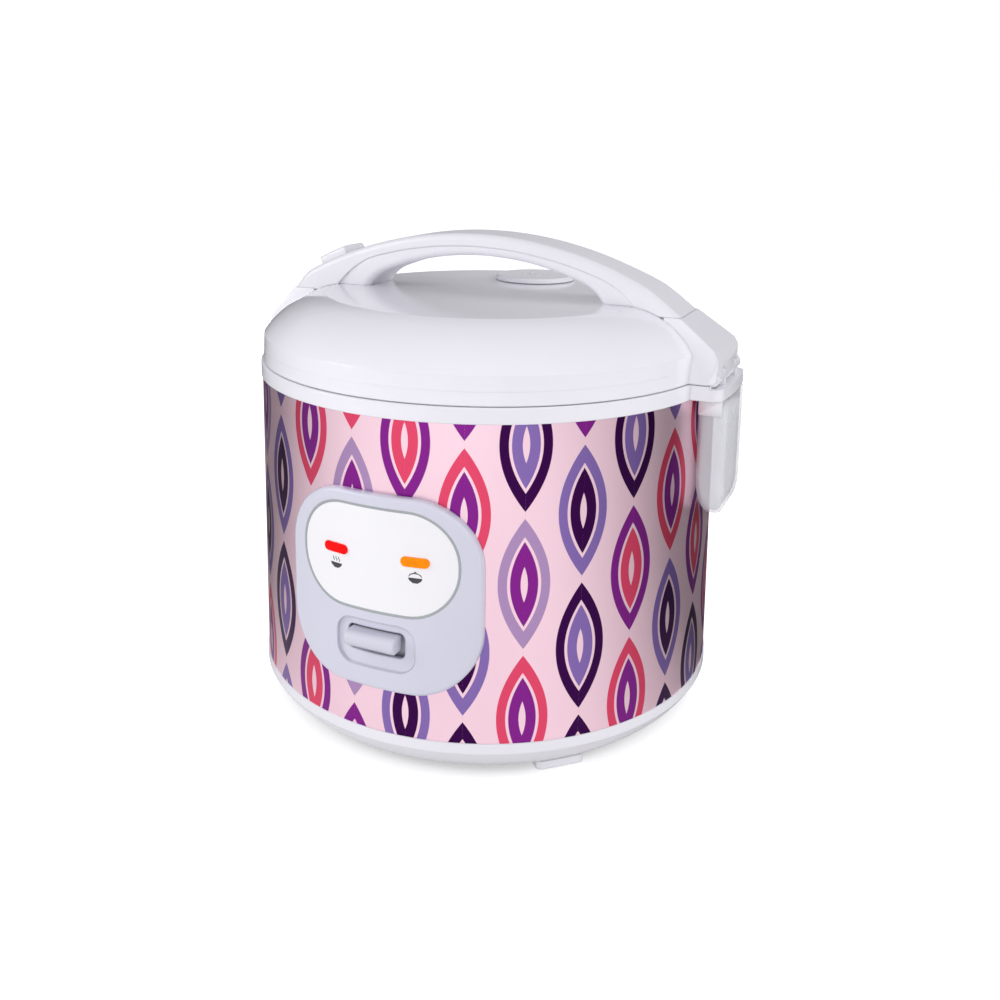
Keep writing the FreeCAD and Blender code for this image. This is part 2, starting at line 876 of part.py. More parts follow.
def make_indicator_lamps():
    bulbs = []
    for side in (-1, 1):
        x = side * lamp_spacing
        glass = Part.makeCylinder(bulb_radius, bulb_length, Vector(x, board_y, lamp_z), Vector(0, -1, 0))
        bulbs.append(glass)
    return Part.makeCompound(bulbs)


# Mains inlet

def make_power_inlet():
    top = inlet_bottom + inlet_height
    back = body_radius - inlet_depth
    body = block(-inlet_half_width, inlet_half_width, back, body_radius + inlet_proud, inlet_bottom, top)
    edges = [e for e in body.Edges if abs(e.tangentAt(e.FirstParameter).y) > 0.99]
    body = body.makeFillet(inlet_wall, edges)
    flange_prism = rounded(inlet_half_width + inlet_flange, inlet_bottom - inlet_flange,
                           inlet_height + 2 * inlet_flange, inlet_flange)
    flange_prism.rotate(Vector(0, 0, 0), Vector(0, 0, 1), 180)
    flange = tube(body_radius, body_radius + inlet_flange_thick, 0, sleeve_top).common(flange_prism)
    socket_y = body_radius + inlet_flange_thick - inlet_socket_depth
    socket = block(-inlet_half_width + inlet_wall, inlet_half_width - inlet_wall, socket_y, 2 * body_radius,
                   inlet_bottom + inlet_wall, top - inlet_wall)
    upright = [e for e in socket.Edges if abs(e.tangentAt(e.FirstParameter).y) > 0.99]
    socket = socket.makeFillet(3.0, upright)
    return joined(body, flange).cut(socket)


def make_inlet_blades():
    middle = inlet_bottom + inlet_height / 2
    y0 = body_radius + inlet_flange_thick - inlet_socket_depth
    places = [(-blade_spacing, middle - blade_drop / 2), (blade_spacing, middle - blade_drop / 2),
              (0, middle + blade_drop / 2 - 2)]
    blades = []
    for x, z in places:
        blades.append(block(x - blade_thick / 2, x + blade_thick / 2, y0, y0 + blade_length,
                            z - blade_width / 2, z + blade_width / 2))
    return Part.makeCompound(blades)


# Lid

def dome_outline(inset):
    """The lid's outer outline, moved inwards by a wall: rim, skirt, bowed dome and flat top."""
    run = crease_radius - plateau_radius
    length = sqrt(run ** 2 + dome_rise ** 2)
    out = (dome_rise / length, run / length)
    middle = ((crease_radius + plateau_radius) / 2 + out[0] * (dome_bulge - inset),
              crease_z + dome_rise / 2 + out[1] * (dome_bulge - inset))
    rim = (lid_rim_radius - inset, lid_bottom)
    crease = (crease_radius - inset, crease_z - inset / 2)
    top = (plateau_radius - inset / 3, plateau_z - inset)
    return rim, crease, middle, top


def dome_solid(inset=0.0):
    rim, crease, middle, top = dome_outline(inset)
    return turned((0, rim[1]), rim, crease, (middle, top), (0, top[1]))


def crest_outline(inset=0.0):
    """The handle's line in the X-Z plane, from the front block's foot to the hinge block's foot."""
    r = handle_radius - inset
    knee_z = on_bow(tail_knee, handle_radius) - 0.8
    shoulder_z = knee_z - tail_slope * (block_shoulder_x - tail_knee)
    front_knee_z = on_bow(-front_knee_x, handle_radius) - front_knee_drop
    front_mid = front_knee_x - front_bend / 2
    tail_mid = (tail_start + tail_knee) / 2
    drop = inset * sqrt(1 + tail_slope ** 2)
    return [(-front_reach + inset, lid_bottom),
            (-front_reach + inset, front_shoulder - inset / 2),
            (-front_knee_x + inset, front_knee_z - inset / 2),
            ((-front_mid + inset / 2, on_bow(-front_mid, r) - front_knee_drop / 4),
             (-front_arc, on_bow(-front_arc, r))),
            (bow_top(r), (tail_start, on_bow(tail_start, r))),
            ((tail_mid, on_bow(tail_mid, r) - 0.2), (tail_knee, knee_z - drop)),
            (block_shoulder_x - inset, shoulder_z - drop + inset * tail_slope),
            (block_reach - inset, shoulder_z - block_corner),
            (block_reach - inset, lid_bottom)]


def crest_solid(half_width, inset=0.0):
    points = crest_outline(inset)
    return slab(half_width, points[0], *points[1:])


def leaning_prism(half_width, inset, x0, x1):
    """A prism along X whose sides lean in from the lid's edge up to the handle's seat."""
    top_half = handle_half_width + handle_flare - inset
    low_half = half_width - inset
    face = flat(yz, (-low_half, lid_bottom), (low_half, lid_bottom), (top_half, cover_seat),
                (-top_half, cover_seat))
    face.translate(Vector(x0, 0, 0))
    return face.extrude(Vector(x1 - x0, 0, 0))


def hinge_block(inset=0.0):
    prism = leaning_prism(block_half_width, inset, tail_start, block_reach + 1)
    plan = hinge_plan(block_reach - inset, block_half_width - inset, lid_bottom, cover_seat - inset)
    return prism.common(plan).common(crest_solid(block_half_width, inset))


def front_block(inset=0.0):
    prism = leaning_prism(front_half_width, inset, -front_reach - 1, -tail_start)
    plan = hinge_plan(front_reach - inset, front_half_width - inset, lid_bottom, cover_seat - inset)
    plan = plan.mirror(Vector(0, 0, 0), Vector(1, 0, 0))
    return prism.common(plan).common(crest_solid(front_half_width, inset))


def make_lid_cover():
    shell = dome_solid().cut(dome_solid(lid_wall))
    inside = dome_solid(lid_wall / 2)
    hinge = hinge_block().cut(hinge_block(block_wall)).cut(inside)
    front = front_block().cut(front_block(block_wall)).cut(inside)
    posts = [drum(lid_post_radius, liner_top, plateau_z, x, y) for x, y in lid_post_places()]
    posts = [post.common(dome_solid(lid_wall / 2)) for post in posts]
    cheek_y = latch_half_width + latch_side_gap
    cheek = block(latch_x - latch_boss, latch_x + latch_boss, cheek_y, cheek_y + cheek_wall,
                  latch_z - latch_boss - 3, latch_z + latch_boss)
    cheeks = [c.common(front_block(block_wall / 2).fuse(dome_solid(lid_wall / 2))) for c in both_sides(cheek)]
    barrel = rod_y(hinge_x, hinge_z, barrel_radius, -arm_inner + arm_gap, arm_inner - arm_gap)
    end_barrel = rod_y(hinge_x, hinge_z, barrel_radius, arm_inner + arm_width + arm_gap, barrel_end)
    rib_low = hinge_z
    rib = block(hinge_x - barrel_radius, block_reach, -arm_inner + arm_gap, arm_inner - arm_gap,
                rib_low, plateau_z).common(hinge_block(block_wall / 2))
    end_rib = block(hinge_x - barrel_radius, block_reach, arm_inner + arm_width + arm_gap, barrel_end,
                    rib_low, plateau_z).common(hinge_block(block_wall / 2))
    cover = joined(shell, hinge, front, barrel, rib, *posts, *cheeks,
                   *both_sides(end_barrel), *both_sides(end_rib))
    notch = block(hinge_x - barrel_radius - arm_gap, block_reach + 1, arm_inner - arm_gap,
                  arm_inner + arm_width + arm_gap, lid_bottom - 1, hinge_z + barrel_radius + arm_gap)
    heel_radius = hinge_z - lid_bottom
    heel = block(hinge_x, block_reach + 1, barrel_end, block_half_width + 1, lid_bottom - 1, hinge_z)
    heel = heel.cut(rod_y(hinge_x, hinge_z, heel_radius, barrel_end, block_half_width + 1))
    cuts = both_sides(notch) + both_sides(heel) + latch_way()
    cuts.append(rod_y(hinge_x, hinge_z, hinge_pin_radius + running, -barrel_end, barrel_end))
    cuts.append(latch_pin_rod())
    cuts.append(drum(vent_seat_radius, plateau_z - 2 * lid_wall, plateau_z + 1, vent_x, vent_y))
    cuts += [drum(screw_radius, liner_top, liner_top + lid_screw_length, x, y) for x, y in lid_post_places()]
    return cover.cut(cuts)


def latch_way():
    """The way through the lid for the latch: inside the front block, and up through its top."""
    half = latch_half_width + latch_side_gap
    inner = latch_way_end
    room = block(catch_slot_outer, inner, -half, half, crease_z, cover_seat - block_wall)
    room = room.common(front_block(block_wall).fuse(dome_solid()))
    return [room, block(cavity_front, inner, -half, half, crease_z, plateau_z + 1)]


def lid_post_places():
    reach = lid_post_circle * sqrt(0.5)
    return [(reach, reach), (-reach, reach), (-reach, -reach), (reach, -reach)]


def make_lid_liner():
    liner = drum(liner_radius, liner_bottom, liner_top)
    hook_way = block(catch_slot_outer, -ring_well - 1, -latch_half_width - latch_side_gap,
                     latch_half_width + latch_side_gap, 0, plateau_z)
    pipe = drum(vent_pipe_radius, 0, plateau_z, vent_x, vent_y)
    screws = [drum(screw_radius, 0, plateau_z, x, y) for x, y in lid_post_places()]
    return liner.cut([hook_way, pipe] + screws)


def make_lid_screws():
    screws = []
    for x, y in lid_post_places():
        shank = drum(screw_radius, liner_bottom, liner_top + lid_screw_length, x, y)
        head = drum(screw_head_radius, liner_bottom - screw_head_height / 2, liner_bottom, x, y)
        screws.append(joined(shank, head))
    return Part.makeCompound(screws)


def inner_lid_low():
    return rim_top + seal_lift + seal_lip


def make_inner_lid():
    low = inner_lid_low()
    high = low + inner_lid_thick
    step = inner_lid_step
    slope = 5.0
    lid = turned((grommet_neck, low + step), (inner_lid_flat, low + step), (inner_lid_flat + slope, low),
                 (inner_lid_radius, low), (inner_lid_radius, high), (inner_lid_flat + slope, high),
                 (inner_lid_flat, high + step), (grommet_neck, high + step))
    pitch = inner_lid_hole_pitch
    holes = [drum(inner_lid_hole, low - 1, high + step + 1, vent_x + pitch * dx, vent_y + pitch * dy)
             for dx in (-1, 0, 1) for dy in (-1, 0, 1)]
    return lid.cut(holes)


def make_lid_seal():
    low = rim_top + seal_lift
    seal = tube(seal_inner, seal_outer, low, liner_bottom)
    groove = drum(inner_lid_radius, inner_lid_low(), inner_lid_low() + inner_lid_thick)
    return seal.cut(groove)


def make_inner_lid_grommet():
    low = inner_lid_low() + inner_lid_step
    high = low + inner_lid_thick
    return turned((0, low - grommet_foot), (grommet_radius - 1, low - grommet_foot),
                  (grommet_radius, low - grommet_foot + 1), (grommet_radius, low), (grommet_neck, low),
                  (grommet_neck, high), (grommet_radius, high), (grommet_radius, liner_bottom),
                  (0, liner_bottom))


# Handle

def seam_legs():
    """The seam between the handle's cover and its grip, from the hinge end to the front end."""
    r = handle_radius - cover_thick
    z = on_bow(seam_turn, r)
    front_z = on_bow(-seam_turn, r)
    low = cover_seat - 2
    mid_x = (seam_turn + grip_foot_outer) / 2 + 1
    return [((mid_x, z - (z - low) * seam_bend), (seam_turn, z)), (bow_top(r), (-seam_turn, front_z)),
            ((-mid_x, front_z - (front_z - low) * seam_bend), (-grip_foot_outer, low))]


def handle_plan(grow=0.0):
    """The handle's plan: even over the bow, wider towards both ends."""
    narrow = handle_half_width + grow
    wide = narrow + handle_flare
    end = block_reach + 1
    face = flat(xy, (-end, -wide), (-flare_end, -wide), (-flare_start, -narrow), (flare_start, -narrow),
                (flare_end, -wide), (end, -wide), (end, wide), (flare_end, wide), (flare_start, narrow),
                (-flare_start, narrow), (-flare_end, wide), (-end, wide))
    face.translate(Vector(0, 0, cover_seat))
    return face.extrude(Vector(0, 0, handle_top))


def cover_envelope():
    wide = handle_half_width + handle_flare
    body = crest_solid(wide).common(handle_plan())
    ridge = [e for e in body.Edges if is_ridge(e)]
    return body.makeFillet(handle_edge, ridge)


def is_ridge(edge):
    """True for the long edges where the handle's top meets its sides."""
    point = edge.valueAt((edge.FirstParameter + edge.LastParameter) / 2)
    along = abs(edge.tangentAt((edge.FirstParameter + edge.LastParameter) / 2).y) < 0.5
    return along and abs(point.y) > handle_half_width - 0.1 and point.z > cover_seat + 0.5


def latch_cavity():
    """The room in the cover's front end for the latch arm, open below."""
    half = latch_half_width + latch_side_gap
    r = handle_radius - plastic_wall
    x0 = cavity_front
    x1 = button_high + 2 * button_swing + button_skirt
    mid = (x0 + x1) / 2
    return slab(half, (x0, cover_seat - 1), (x0, on_bow(x0, r) - front_knee_drop),
                ((mid, on_bow(mid, r)), (x1, on_bow(x1, r))),
                (x1, on_bow(x1, r) - 2 * latch_arm_thick), (-grip_foot_outer, cover_seat - 1))


def button_window():
    half = button_half_width + clearance
    r0 = handle_radius - 2 * plastic_wall
    r1 = handle_radius + 2 * plastic_wall
    return arc_bar(half, button_low - clearance, button_high + button_swing, r0, r1)


def arc_bar(half, x0, x1, r0, r1):
    """A bar that follows the handle's bow between two radii, with square ends."""
    a0 = asin((x0 - bow_x) / handle_radius)
    a1 = asin((x1 - bow_x) / handle_radius)
    am = (a0 + a1) / 2

    def at(angle, r):
        return (bow_x + r * sin(angle), arc_centre + r * cos(angle))

    return slab(half, at(a0, r0), (at(am, r0), at(a1, r0)), at(a1, r1), (at(am, r1), at(a0, r1)))


def make_handle_cover():
    low = cover_seat - 2
    wide = handle_half_width + handle_flare + 1
    under = slab(wide, (grip_foot_outer, lid_bottom), (grip_foot_outer, low), *seam_legs(),
                 (-grip_foot_outer, lid_bottom))
    cover = cover_envelope().cut([under, dome_solid(), latch_cavity(), button_window()])
    return biggest(cover)


def biggest(shape):
    """The main solid where a cut leaves thin offcuts."""
    return max(shape.Solids, key=lambda solid: solid.Volume)


def palm_bend(leg_z, low):
    """The middle of the arc that leaves the palm's own arc without a corner and ends at the grip's foot."""
    lean = atan2(grip_reach, leg_z - grip_centre)
    run = grip_foot_inner - grip_reach
    fall = leg_z - low
    radius = (run * run + fall * fall) / (2 * (fall * cos(lean) - run * sin(lean)))
    x = grip_reach - radius * sin(lean)
    z = leg_z - radius * cos(lean)
    middle = (lean + atan2(grip_foot_inner - x, low - z)) / 2
    return (x + radius * sin(middle), z + radius * cos(middle))


def make_handle_grip():
    low = cover_seat - 2
    half = handle_half_width - grip_inset
    leg_z = on_arc(grip_reach, grip_radius, grip_centre)
    bend = palm_bend(leg_z, low)
    grip = slab(half, (grip_foot_outer, low), *seam_legs(), (-grip_foot_inner, low),
                ((-bend[0], bend[1]), (-grip_reach, leg_z)), ((0, grip_top), (grip_reach, leg_z)),
                (bend, (grip_foot_inner, low)))
    palm = [e for e in grip.Edges if is_palm_edge(e, half)]
    grip = grip.makeFillet(grip_edge, palm)
    return biggest(grip.cut([dome_solid(), latch_cavity(), arm_room()]))


def is_palm_edge(edge, half):
    """True for the edges round the underside of the grip."""
    point = edge.valueAt((edge.FirstParameter + edge.LastParameter) / 2)
    on_side = abs(abs(point.y) - half) < 0.01
    along = abs(edge.tangentAt((edge.FirstParameter + edge.LastParameter) / 2).y) < 0.5
    below = point.z < on_arc(min(abs(point.x), grip_radius - 1), grip_radius, grip_centre) + 1
    return on_side and along and below and abs(point.x) < grip_foot_inner - 1


def arm_room():
    half = latch_half_width + latch_side_gap
    return block(-grip_foot_outer, latch_arm_end + 5, -half, half, plateau_z + 4, handle_top)


# Latch

def latch_pin_rod():
    end = latch_half_width + latch_side_gap + cheek_wall
    return rod_y(latch_x, latch_z, latch_pin_radius, -end, end)


def make_latch_hook():
    half = latch_half_width
    stem_x0 = catch_edge - 0.8 - latch_stem
    stem_x1 = catch_edge - 0.8
    under = ring_top - plastic_wall - clearance
    tip = under - nose_height - 1
    nose_x = catch_edge + nose_reach
    hook = slab(half, (stem_x0, latch_z), (stem_x0, tip), (stem_x1, tip), (nose_x, under - 1),
                (nose_x, under), (stem_x1, under), (stem_x1, latch_z))
    boss = rod_y(latch_x, latch_z, latch_boss, -half, half)
    (x0, z0), (x1, z1) = arm_seat()
    elbow = 8.0
    root = latch_boss * 0.6
    arm = slab(half, (latch_x - root, latch_z + root), (latch_x + elbow, latch_z + 2 * elbow), (x0, z0),
               (x1, z1), (x1, z1 - latch_arm_thick), (latch_x + 1.75 * elbow, latch_z + 1.6 * elbow),
               (latch_x + root, latch_z - root))
    return joined(hook, boss, arm).cut(rod_y(latch_x, latch_z, latch_pin_radius + running, -half, half))


def arm_seat():
    """Where the latch arm's end carries the button: two points just under the button's cap."""
    under = handle_radius - button_depth
    x1 = latch_arm_end
    x0 = x1 - latch_arm_width
    return (x0, on_bow(x0, under) - 1), (x1, on_bow(x1, under) - 1)


def make_latch_button():
    half = button_half_width
    cap = arc_bar(half, button_low, button_high, handle_radius - button_depth, handle_radius + button_proud)
    edges = [e for e in cap.Edges if abs(e.CenterOfMass.y) > half - 0.1
             and e.CenterOfMass.z > on_bow(e.CenterOfMass.x, handle_radius) + 1]
    cap = cap.makeFillet(button_round, edges)
    skirt_top = handle_radius - plastic_wall - clearance
    skirt = arc_bar(half, button_low, button_high + button_swing + button_skirt / 2,
                    handle_radius - button_depth, skirt_top)
    (x0, z0), (x1, z1) = arm_seat()
    stalk = slab(latch_half_width / 2, (x0, z0), (x1, z1), (x1, z1 + 2.5), (x0, z0 + 2.5))
    return joined(cap, skirt, stalk)


def make_latch_spring():
    length = latch_side_gap - 2 * latch_spring_gap
    turns = coil(latch_spring_radius, latch_spring_wire, latch_spring_turns, 0, length)
    turns.rotate(Vector(0, 0, 0), Vector(1, 0, 0), -90)
    turns.translate(Vector(latch_x, latch_half_width + latch_spring_gap, latch_z))
    return turns


# Dew collector

def collector_body(inset):
    half = collector_half_width - inset
    low = collector_bottom + inset
    high = sleeve_top - collector_top_gap
    corner = collector_corner - inset
    k = corner * (1 - sqrt(0.5))
    front = flat(yz, (-half, high), (-half, low + corner), ((-half + k, low + k), (-half + corner, low)),
                 (half - corner, low), ((half - k, low + k), (half, low + corner)), (half, high))
    front = front.extrude(Vector(2 * body_radius, 0, 0))
    reach = collector_reach - inset
    edge = half - block_corner / 2
    kc = block_corner / 2 * (1 - sqrt(0.5))
    side_x = reach - block_belly - block_corner / 2
    plan = flat(xy, (body_radius / 2, -half), (side_x, -half),
                ((reach - block_belly - kc, -half + kc), (reach - block_belly, -edge)),
                ((reach, 0), (reach - block_belly, edge)),
                ((reach - block_belly - kc, half - kc), (side_x, half)), (body_radius / 2, half))
    plan.translate(Vector(0, 0, low))
    plan = plan.extrude(Vector(0, 0, high - low))
    return front.common(plan).cut(drum(body_radius + collector_off_sleeve + inset, 0, plateau_z))


def make_dew_collector():
    return collector_body(0).cut(collector_body(collector_wall))


# Steam vent

def make_steam_vent_seat():
    under = plateau_z - lid_wall
    low = under - vent_seat_depth
    seat = vent_seat_radius
    inner = vent_plug_radius + 0.6
    pipe = vent_pipe_radius
    shape = turned((pipe - 2, liner_bottom), (pipe, liner_bottom), (pipe, low), (seat, low),
                   (seat, under - 2), (vent_seat_flange, under - 2), (vent_seat_flange, under), (seat, under),
                   (seat, plateau_z - 0.5), (inner, plateau_z - 0.5), (inner, low + 2), (pipe - 2, low + 2))
    shape.translate(Vector(vent_x, vent_y, 0))
    return shape


def make_steam_vent_cap():
    low = plateau_z + lid_gap
    top = low + vent_cap_height
    edge = vent_cap_edge
    plug = vent_plug_radius
    wall = 2.0
    cap = turned((0, top), (vent_cap_radius - edge, top), (vent_cap_radius, top - edge),
                 (vent_cap_radius, low), (plug, low), (plug, low - vent_plug_depth),
                 (plug - wall, low - vent_plug_depth),
                 (plug - wall, low), (0, low))
    cap.translate(Vector(vent_x, vent_y, 0))
    slots = []
    for i in (-1, 0, 1):
        x = vent_x + i * vent_slot_pitch
        slots.append(block(x - vent_slot_width / 2, x + vent_slot_width / 2, vent_y - vent_slot_length / 2,
                           vent_y + vent_slot_length / 2, low - 1, top + 1))
    return cap.cut(slots)


def make_hinge_pin():
    return rod_y(hinge_x, hinge_z, hinge_pin_radius, -barrel_end, barrel_end)


pieces = {
    "base": make_base(),
    "outer_shell": make_outer_shell(),
    "upper_ring": make_upper_ring(),
    "inner_case": make_inner_case(),
    "inner_pot": make_inner_pot(),
    "heating_plate": make_heating_plate(),
    "heater_terminals": make_heater_terminals(),
    "heater_supports": make_heater_supports(),
    "base_screws": make_base_screws(),
    "warming_band": make_warming_band(),
    "thermal_fuse": make_thermal_fuse(),
    "thermostat_guide": make_thermostat_guide(),
    "thermostat_cap": make_thermostat_cap(),
    "thermostat_spring": make_thermostat_spring(),
    "magnet": make_magnet(),
    "cook_lever": make_cook_lever(),
    "lever_pin": make_lever_pin(),
    "switch_bracket": make_switch_bracket(),
    "micro_switch": make_micro_switch(),
    "panel_bezel": make_panel_bezel(),
    "panel_plate": make_panel_plate(),
    "cook_lamp_lens": make_lamp_lens(-1),
    "warm_lamp_lens": make_lamp_lens(1),
    "lamp_board": make_lamp_board(),
    "indicator_lamps": make_indicator_lamps(),
    "power_inlet": make_power_inlet(),
    "inlet_blades": make_inlet_blades(),
    "hinge_pin": make_hinge_pin(),
    "lid_cover": make_lid_cover(),
    "lid_liner": make_lid_liner(),
    "lid_screws": make_lid_screws(),
    "inner_lid": make_inner_lid(),
    "lid_seal": make_lid_seal(),
    "inner_lid_grommet": make_inner_lid_grommet(),
    "handle_cover": make_handle_cover(),
    "handle_grip": make_handle_grip(),
    "latch_pin": latch_pin_rod(),
    "latch_spring": make_latch_spring(),
    "latch_hook": make_latch_hook(),
    "latch_button": make_latch_button(),
    "dew_collector": make_dew_collector(),
    "steam_vent_seat": make_steam_vent_seat(),
    "steam_vent_cap": make_steam_vent_cap(),
}

os.makedirs("parts", exist_ok=True)
for name, shape in pieces.items():
    shape.exportStep("parts/" + name + ".step")
    box = shape.BoundBox
    print(name, len(shape.Solids), shape.isValid(), round(shape.Volume), [round(v, 1) for v in (
        box.XMin, box.XMax, box.YMin, box.YMax, box.ZMin, box.ZMax)])
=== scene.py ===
# %% [markdown]
# # A jar rice cooker, dressed in Blender
# The solids of this cooker come packed as a frame: every piece already sits in its place, in metres,
# with the origin on the body's axis at counter level. +X points to the lid hinge and -Y to the panel.
# This lesson gives each piece its finish, adds what the solids leave out, and lights the whole.

# %% Load the frame
import bpy
import bmesh
from math import cos, pi, radians, sin, sqrt
from mathutils import Matrix, Vector


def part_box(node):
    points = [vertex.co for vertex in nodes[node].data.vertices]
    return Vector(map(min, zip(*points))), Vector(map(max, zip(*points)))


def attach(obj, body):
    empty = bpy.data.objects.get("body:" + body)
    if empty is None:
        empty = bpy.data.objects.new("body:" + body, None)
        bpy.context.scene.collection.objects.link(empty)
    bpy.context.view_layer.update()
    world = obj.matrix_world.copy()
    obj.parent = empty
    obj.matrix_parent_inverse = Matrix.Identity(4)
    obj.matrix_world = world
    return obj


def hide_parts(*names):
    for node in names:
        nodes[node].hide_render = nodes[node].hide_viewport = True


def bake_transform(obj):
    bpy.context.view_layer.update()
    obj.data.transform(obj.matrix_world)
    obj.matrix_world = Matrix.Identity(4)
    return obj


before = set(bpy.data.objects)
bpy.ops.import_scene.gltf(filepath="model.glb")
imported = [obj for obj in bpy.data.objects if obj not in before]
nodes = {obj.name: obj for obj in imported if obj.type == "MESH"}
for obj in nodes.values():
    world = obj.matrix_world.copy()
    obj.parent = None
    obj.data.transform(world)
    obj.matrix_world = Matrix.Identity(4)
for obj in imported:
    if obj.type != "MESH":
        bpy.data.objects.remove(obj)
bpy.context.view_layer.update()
scene = bpy.context.scene
scene.view_settings.view_transform = "Standard"
MM = 0.001

# %% [markdown]
# ## The camera
# The photograph was taken from the front right, a little above the lid, with a fairly wide lens and then
# cropped low in the frame. A lens shift gives the same crop without tilting the camera, so upright
# edges keep the slight convergence that the photograph has.

# %% Camera
camera_place = Vector((0.2519, -0.5574, 0.3205))
camera_forward = Vector((-0.398, 0.903, -0.1615)).normalized()
camera_roll = radians(0.696)

camera_data = bpy.data.cameras.new("photo_camera")
camera_data.sensor_width = 36.0
camera_data.lens = 38.05
camera_data.shift_y = -0.1947
camera = bpy.data.objects.new("photo_camera", camera_data)
turn = camera_forward.to_track_quat("-Z", "Y").to_matrix().to_4x4()
camera.matrix_world = Matrix.Translation(camera_place) @ turn @ Matrix.Rotation(camera_roll, 4, "Z")
scene.collection.objects.link(camera)
scene.camera = camera
print("camera", [round(v, 3) for v in camera_place])

# %% [markdown]
# ## Floor, light and background
# A product photograph on white: the light comes from soft boxes in front, at the sides and behind, and
# little of it from above, so the flat top of the lid is the darkest white on the cooker. A picture of a
# studio could light it too, but a few lamps and nodes are easier to steer. The helpers below add one
# node each and hand back its output, so that a shader can be written as a few lines of sums.

# %% Node helpers
def feed(tree, value, socket):
    """Puts a number or a colour on a socket, or links another node's output to it."""
    if isinstance(value, (int, float)):
        socket.default_value = value
    elif isinstance(value, tuple):
        socket.default_value = (*value, 1.0)
    else:
        tree.links.new(value, socket)


def add_node(tree, kind, **settings):
    """A new shader node with some of its settings changed."""
    node = tree.nodes.new("ShaderNode" + kind)
    for key, value in settings.items():
        setattr(node, key, value)
    return node


def calc(tree, operation, first, second=None):
    """One Math node; each operand is a number or another node's output."""
    node = add_node(tree, "Math", operation=operation)
    feed(tree, first, node.inputs[0])
    if second is not None:
        feed(tree, second, node.inputs[1])
    return node.outputs[0]


def coordinates(tree, kind):
    """The three parts of a texture coordinate."""
    where = add_node(tree, "TexCoord")
    split = add_node(tree, "SeparateXYZ")
    feed(tree, where.outputs[kind], split.inputs[0])
    return split.outputs


def straight(tree, value, low, high, first, last, curve="LINEAR"):
    """Runs evenly from first, where value is low, to last, where it is high, and stays there beyond."""
    node = add_node(tree, "MapRange", interpolation_type=curve)
    node.inputs["From Min"].default_value = low
    node.inputs["From Max"].default_value = high
    node.inputs["To Min"].default_value = first
    node.inputs["To Max"].default_value = last
    feed(tree, value, node.inputs["Value"])
    return node.outputs["Result"]


def eased(tree, value, low, high, first, last):
    """The same, with a soft start and end."""
    return straight(tree, value, low, high, first, last, "SMOOTHSTEP")


def mixed(tree, factor, first, second):
    """One Mix Shader node: first where the factor is 0, second where it is 1."""
    node = add_node(tree, "MixShader")
    for value, socket in zip((factor, first, second), node.inputs):
        feed(tree, value, socket)
    return node.outputs[0]


# %% [markdown]
# ## The room
# A world can show each kind of ray its own room. Rays that carry light find a mild fill. Rays that shiny
# pieces mirror find a white room with a dark flag round each side, a grey upper wall and a pale ceiling,
# because a photographer hangs such flags to give a round body its dark edges. The camera, and rays
# through clear pieces, find plain white.

# %% Room
flag_turn = radians(-14.0)
white, flag_tone, back_tone = 1.0, 0.10, 0.6
away = Matrix.Rotation(flag_turn, 2) @ camera_forward.to_2d().normalized()


def flags(tree, x, y):
    """How white the room is in a direction: white in front, darker round both sides, pale behind."""
    depth = calc(tree, "ADD", calc(tree, "MULTIPLY", x, away.x), calc(tree, "MULTIPLY", y, away.y))
    front = straight(tree, depth, low=-0.80, high=0.20, first=white, last=flag_tone)
    behind = eased(tree, depth, low=0.90, high=0.98, first=0.0, last=back_tone)
    return calc(tree, "ADD", front, behind)


world = bpy.data.worlds.new("studio")
scene.world = world
world.use_nodes = True
sky = world.node_tree
sky.nodes.clear()


def room(strength, colour=(1.0, 1.0, 1.0)):
    """What one kind of ray finds all round."""
    node = add_node(sky, "Background")
    feed(sky, colour, node.inputs["Color"])
    feed(sky, strength, node.inputs["Strength"])
    return node.outputs[0]


x, y, z = coordinates(sky, "Generated")
fill_room = room(eased(sky, z, low=-0.1, high=0.8, first=0.44, last=0.53), colour=(0.93, 0.91, 1.0))
upper_wall = eased(sky, z, low=0.02, high=0.13, first=white, last=0.56)
ceiling = eased(sky, z, low=0.20, high=0.50, first=0.0, last=0.44)
walls = calc(sky, "MULTIPLY", flags(sky, x, y), upper_wall)
mirrored_room = room(calc(sky, "ADD", walls, ceiling))
white_room = room(white)

rays = add_node(sky, "LightPath")
seen = calc(sky, "MAXIMUM", rays.outputs["Is Camera Ray"], rays.outputs["Is Transmission Ray"])
unseen_room = mixed(sky, rays.outputs["Is Glossy Ray"], fill_room, mirrored_room)
feed(sky, mixed(sky, seen, unseen_room, white_room), add_node(sky, "OutputWorld").inputs["Surface"])
print("room:", len(sky.nodes), "nodes")

# %% [markdown]
# ## Soft boxes
# Four area lamps stand round the cooker, none of them straight above it. Only the left one shows in
# shiny pieces: it gives the lid the one bright window that the photograph has. The others would add
# windows of their own, so they light without being mirrored.

# %% Soft boxes
def soft_box(name, place, aim_height, size, power, mirrored=False):
    """An area lamp that is aimed at the body's axis."""
    light = bpy.data.lights.new(name, "AREA")
    light.shape = "RECTANGLE"
    light.size, light.size_y = size
    light.energy = power
    lamp = bpy.data.objects.new(name, light)
    toward = Vector((0, 0, aim_height)) - Vector(place)
    lamp.matrix_world = Matrix.Translation(place) @ toward.to_track_quat("-Z", "Y").to_matrix().to_4x4()
    lamp.visible_glossy = mirrored
    scene.collection.objects.link(lamp)


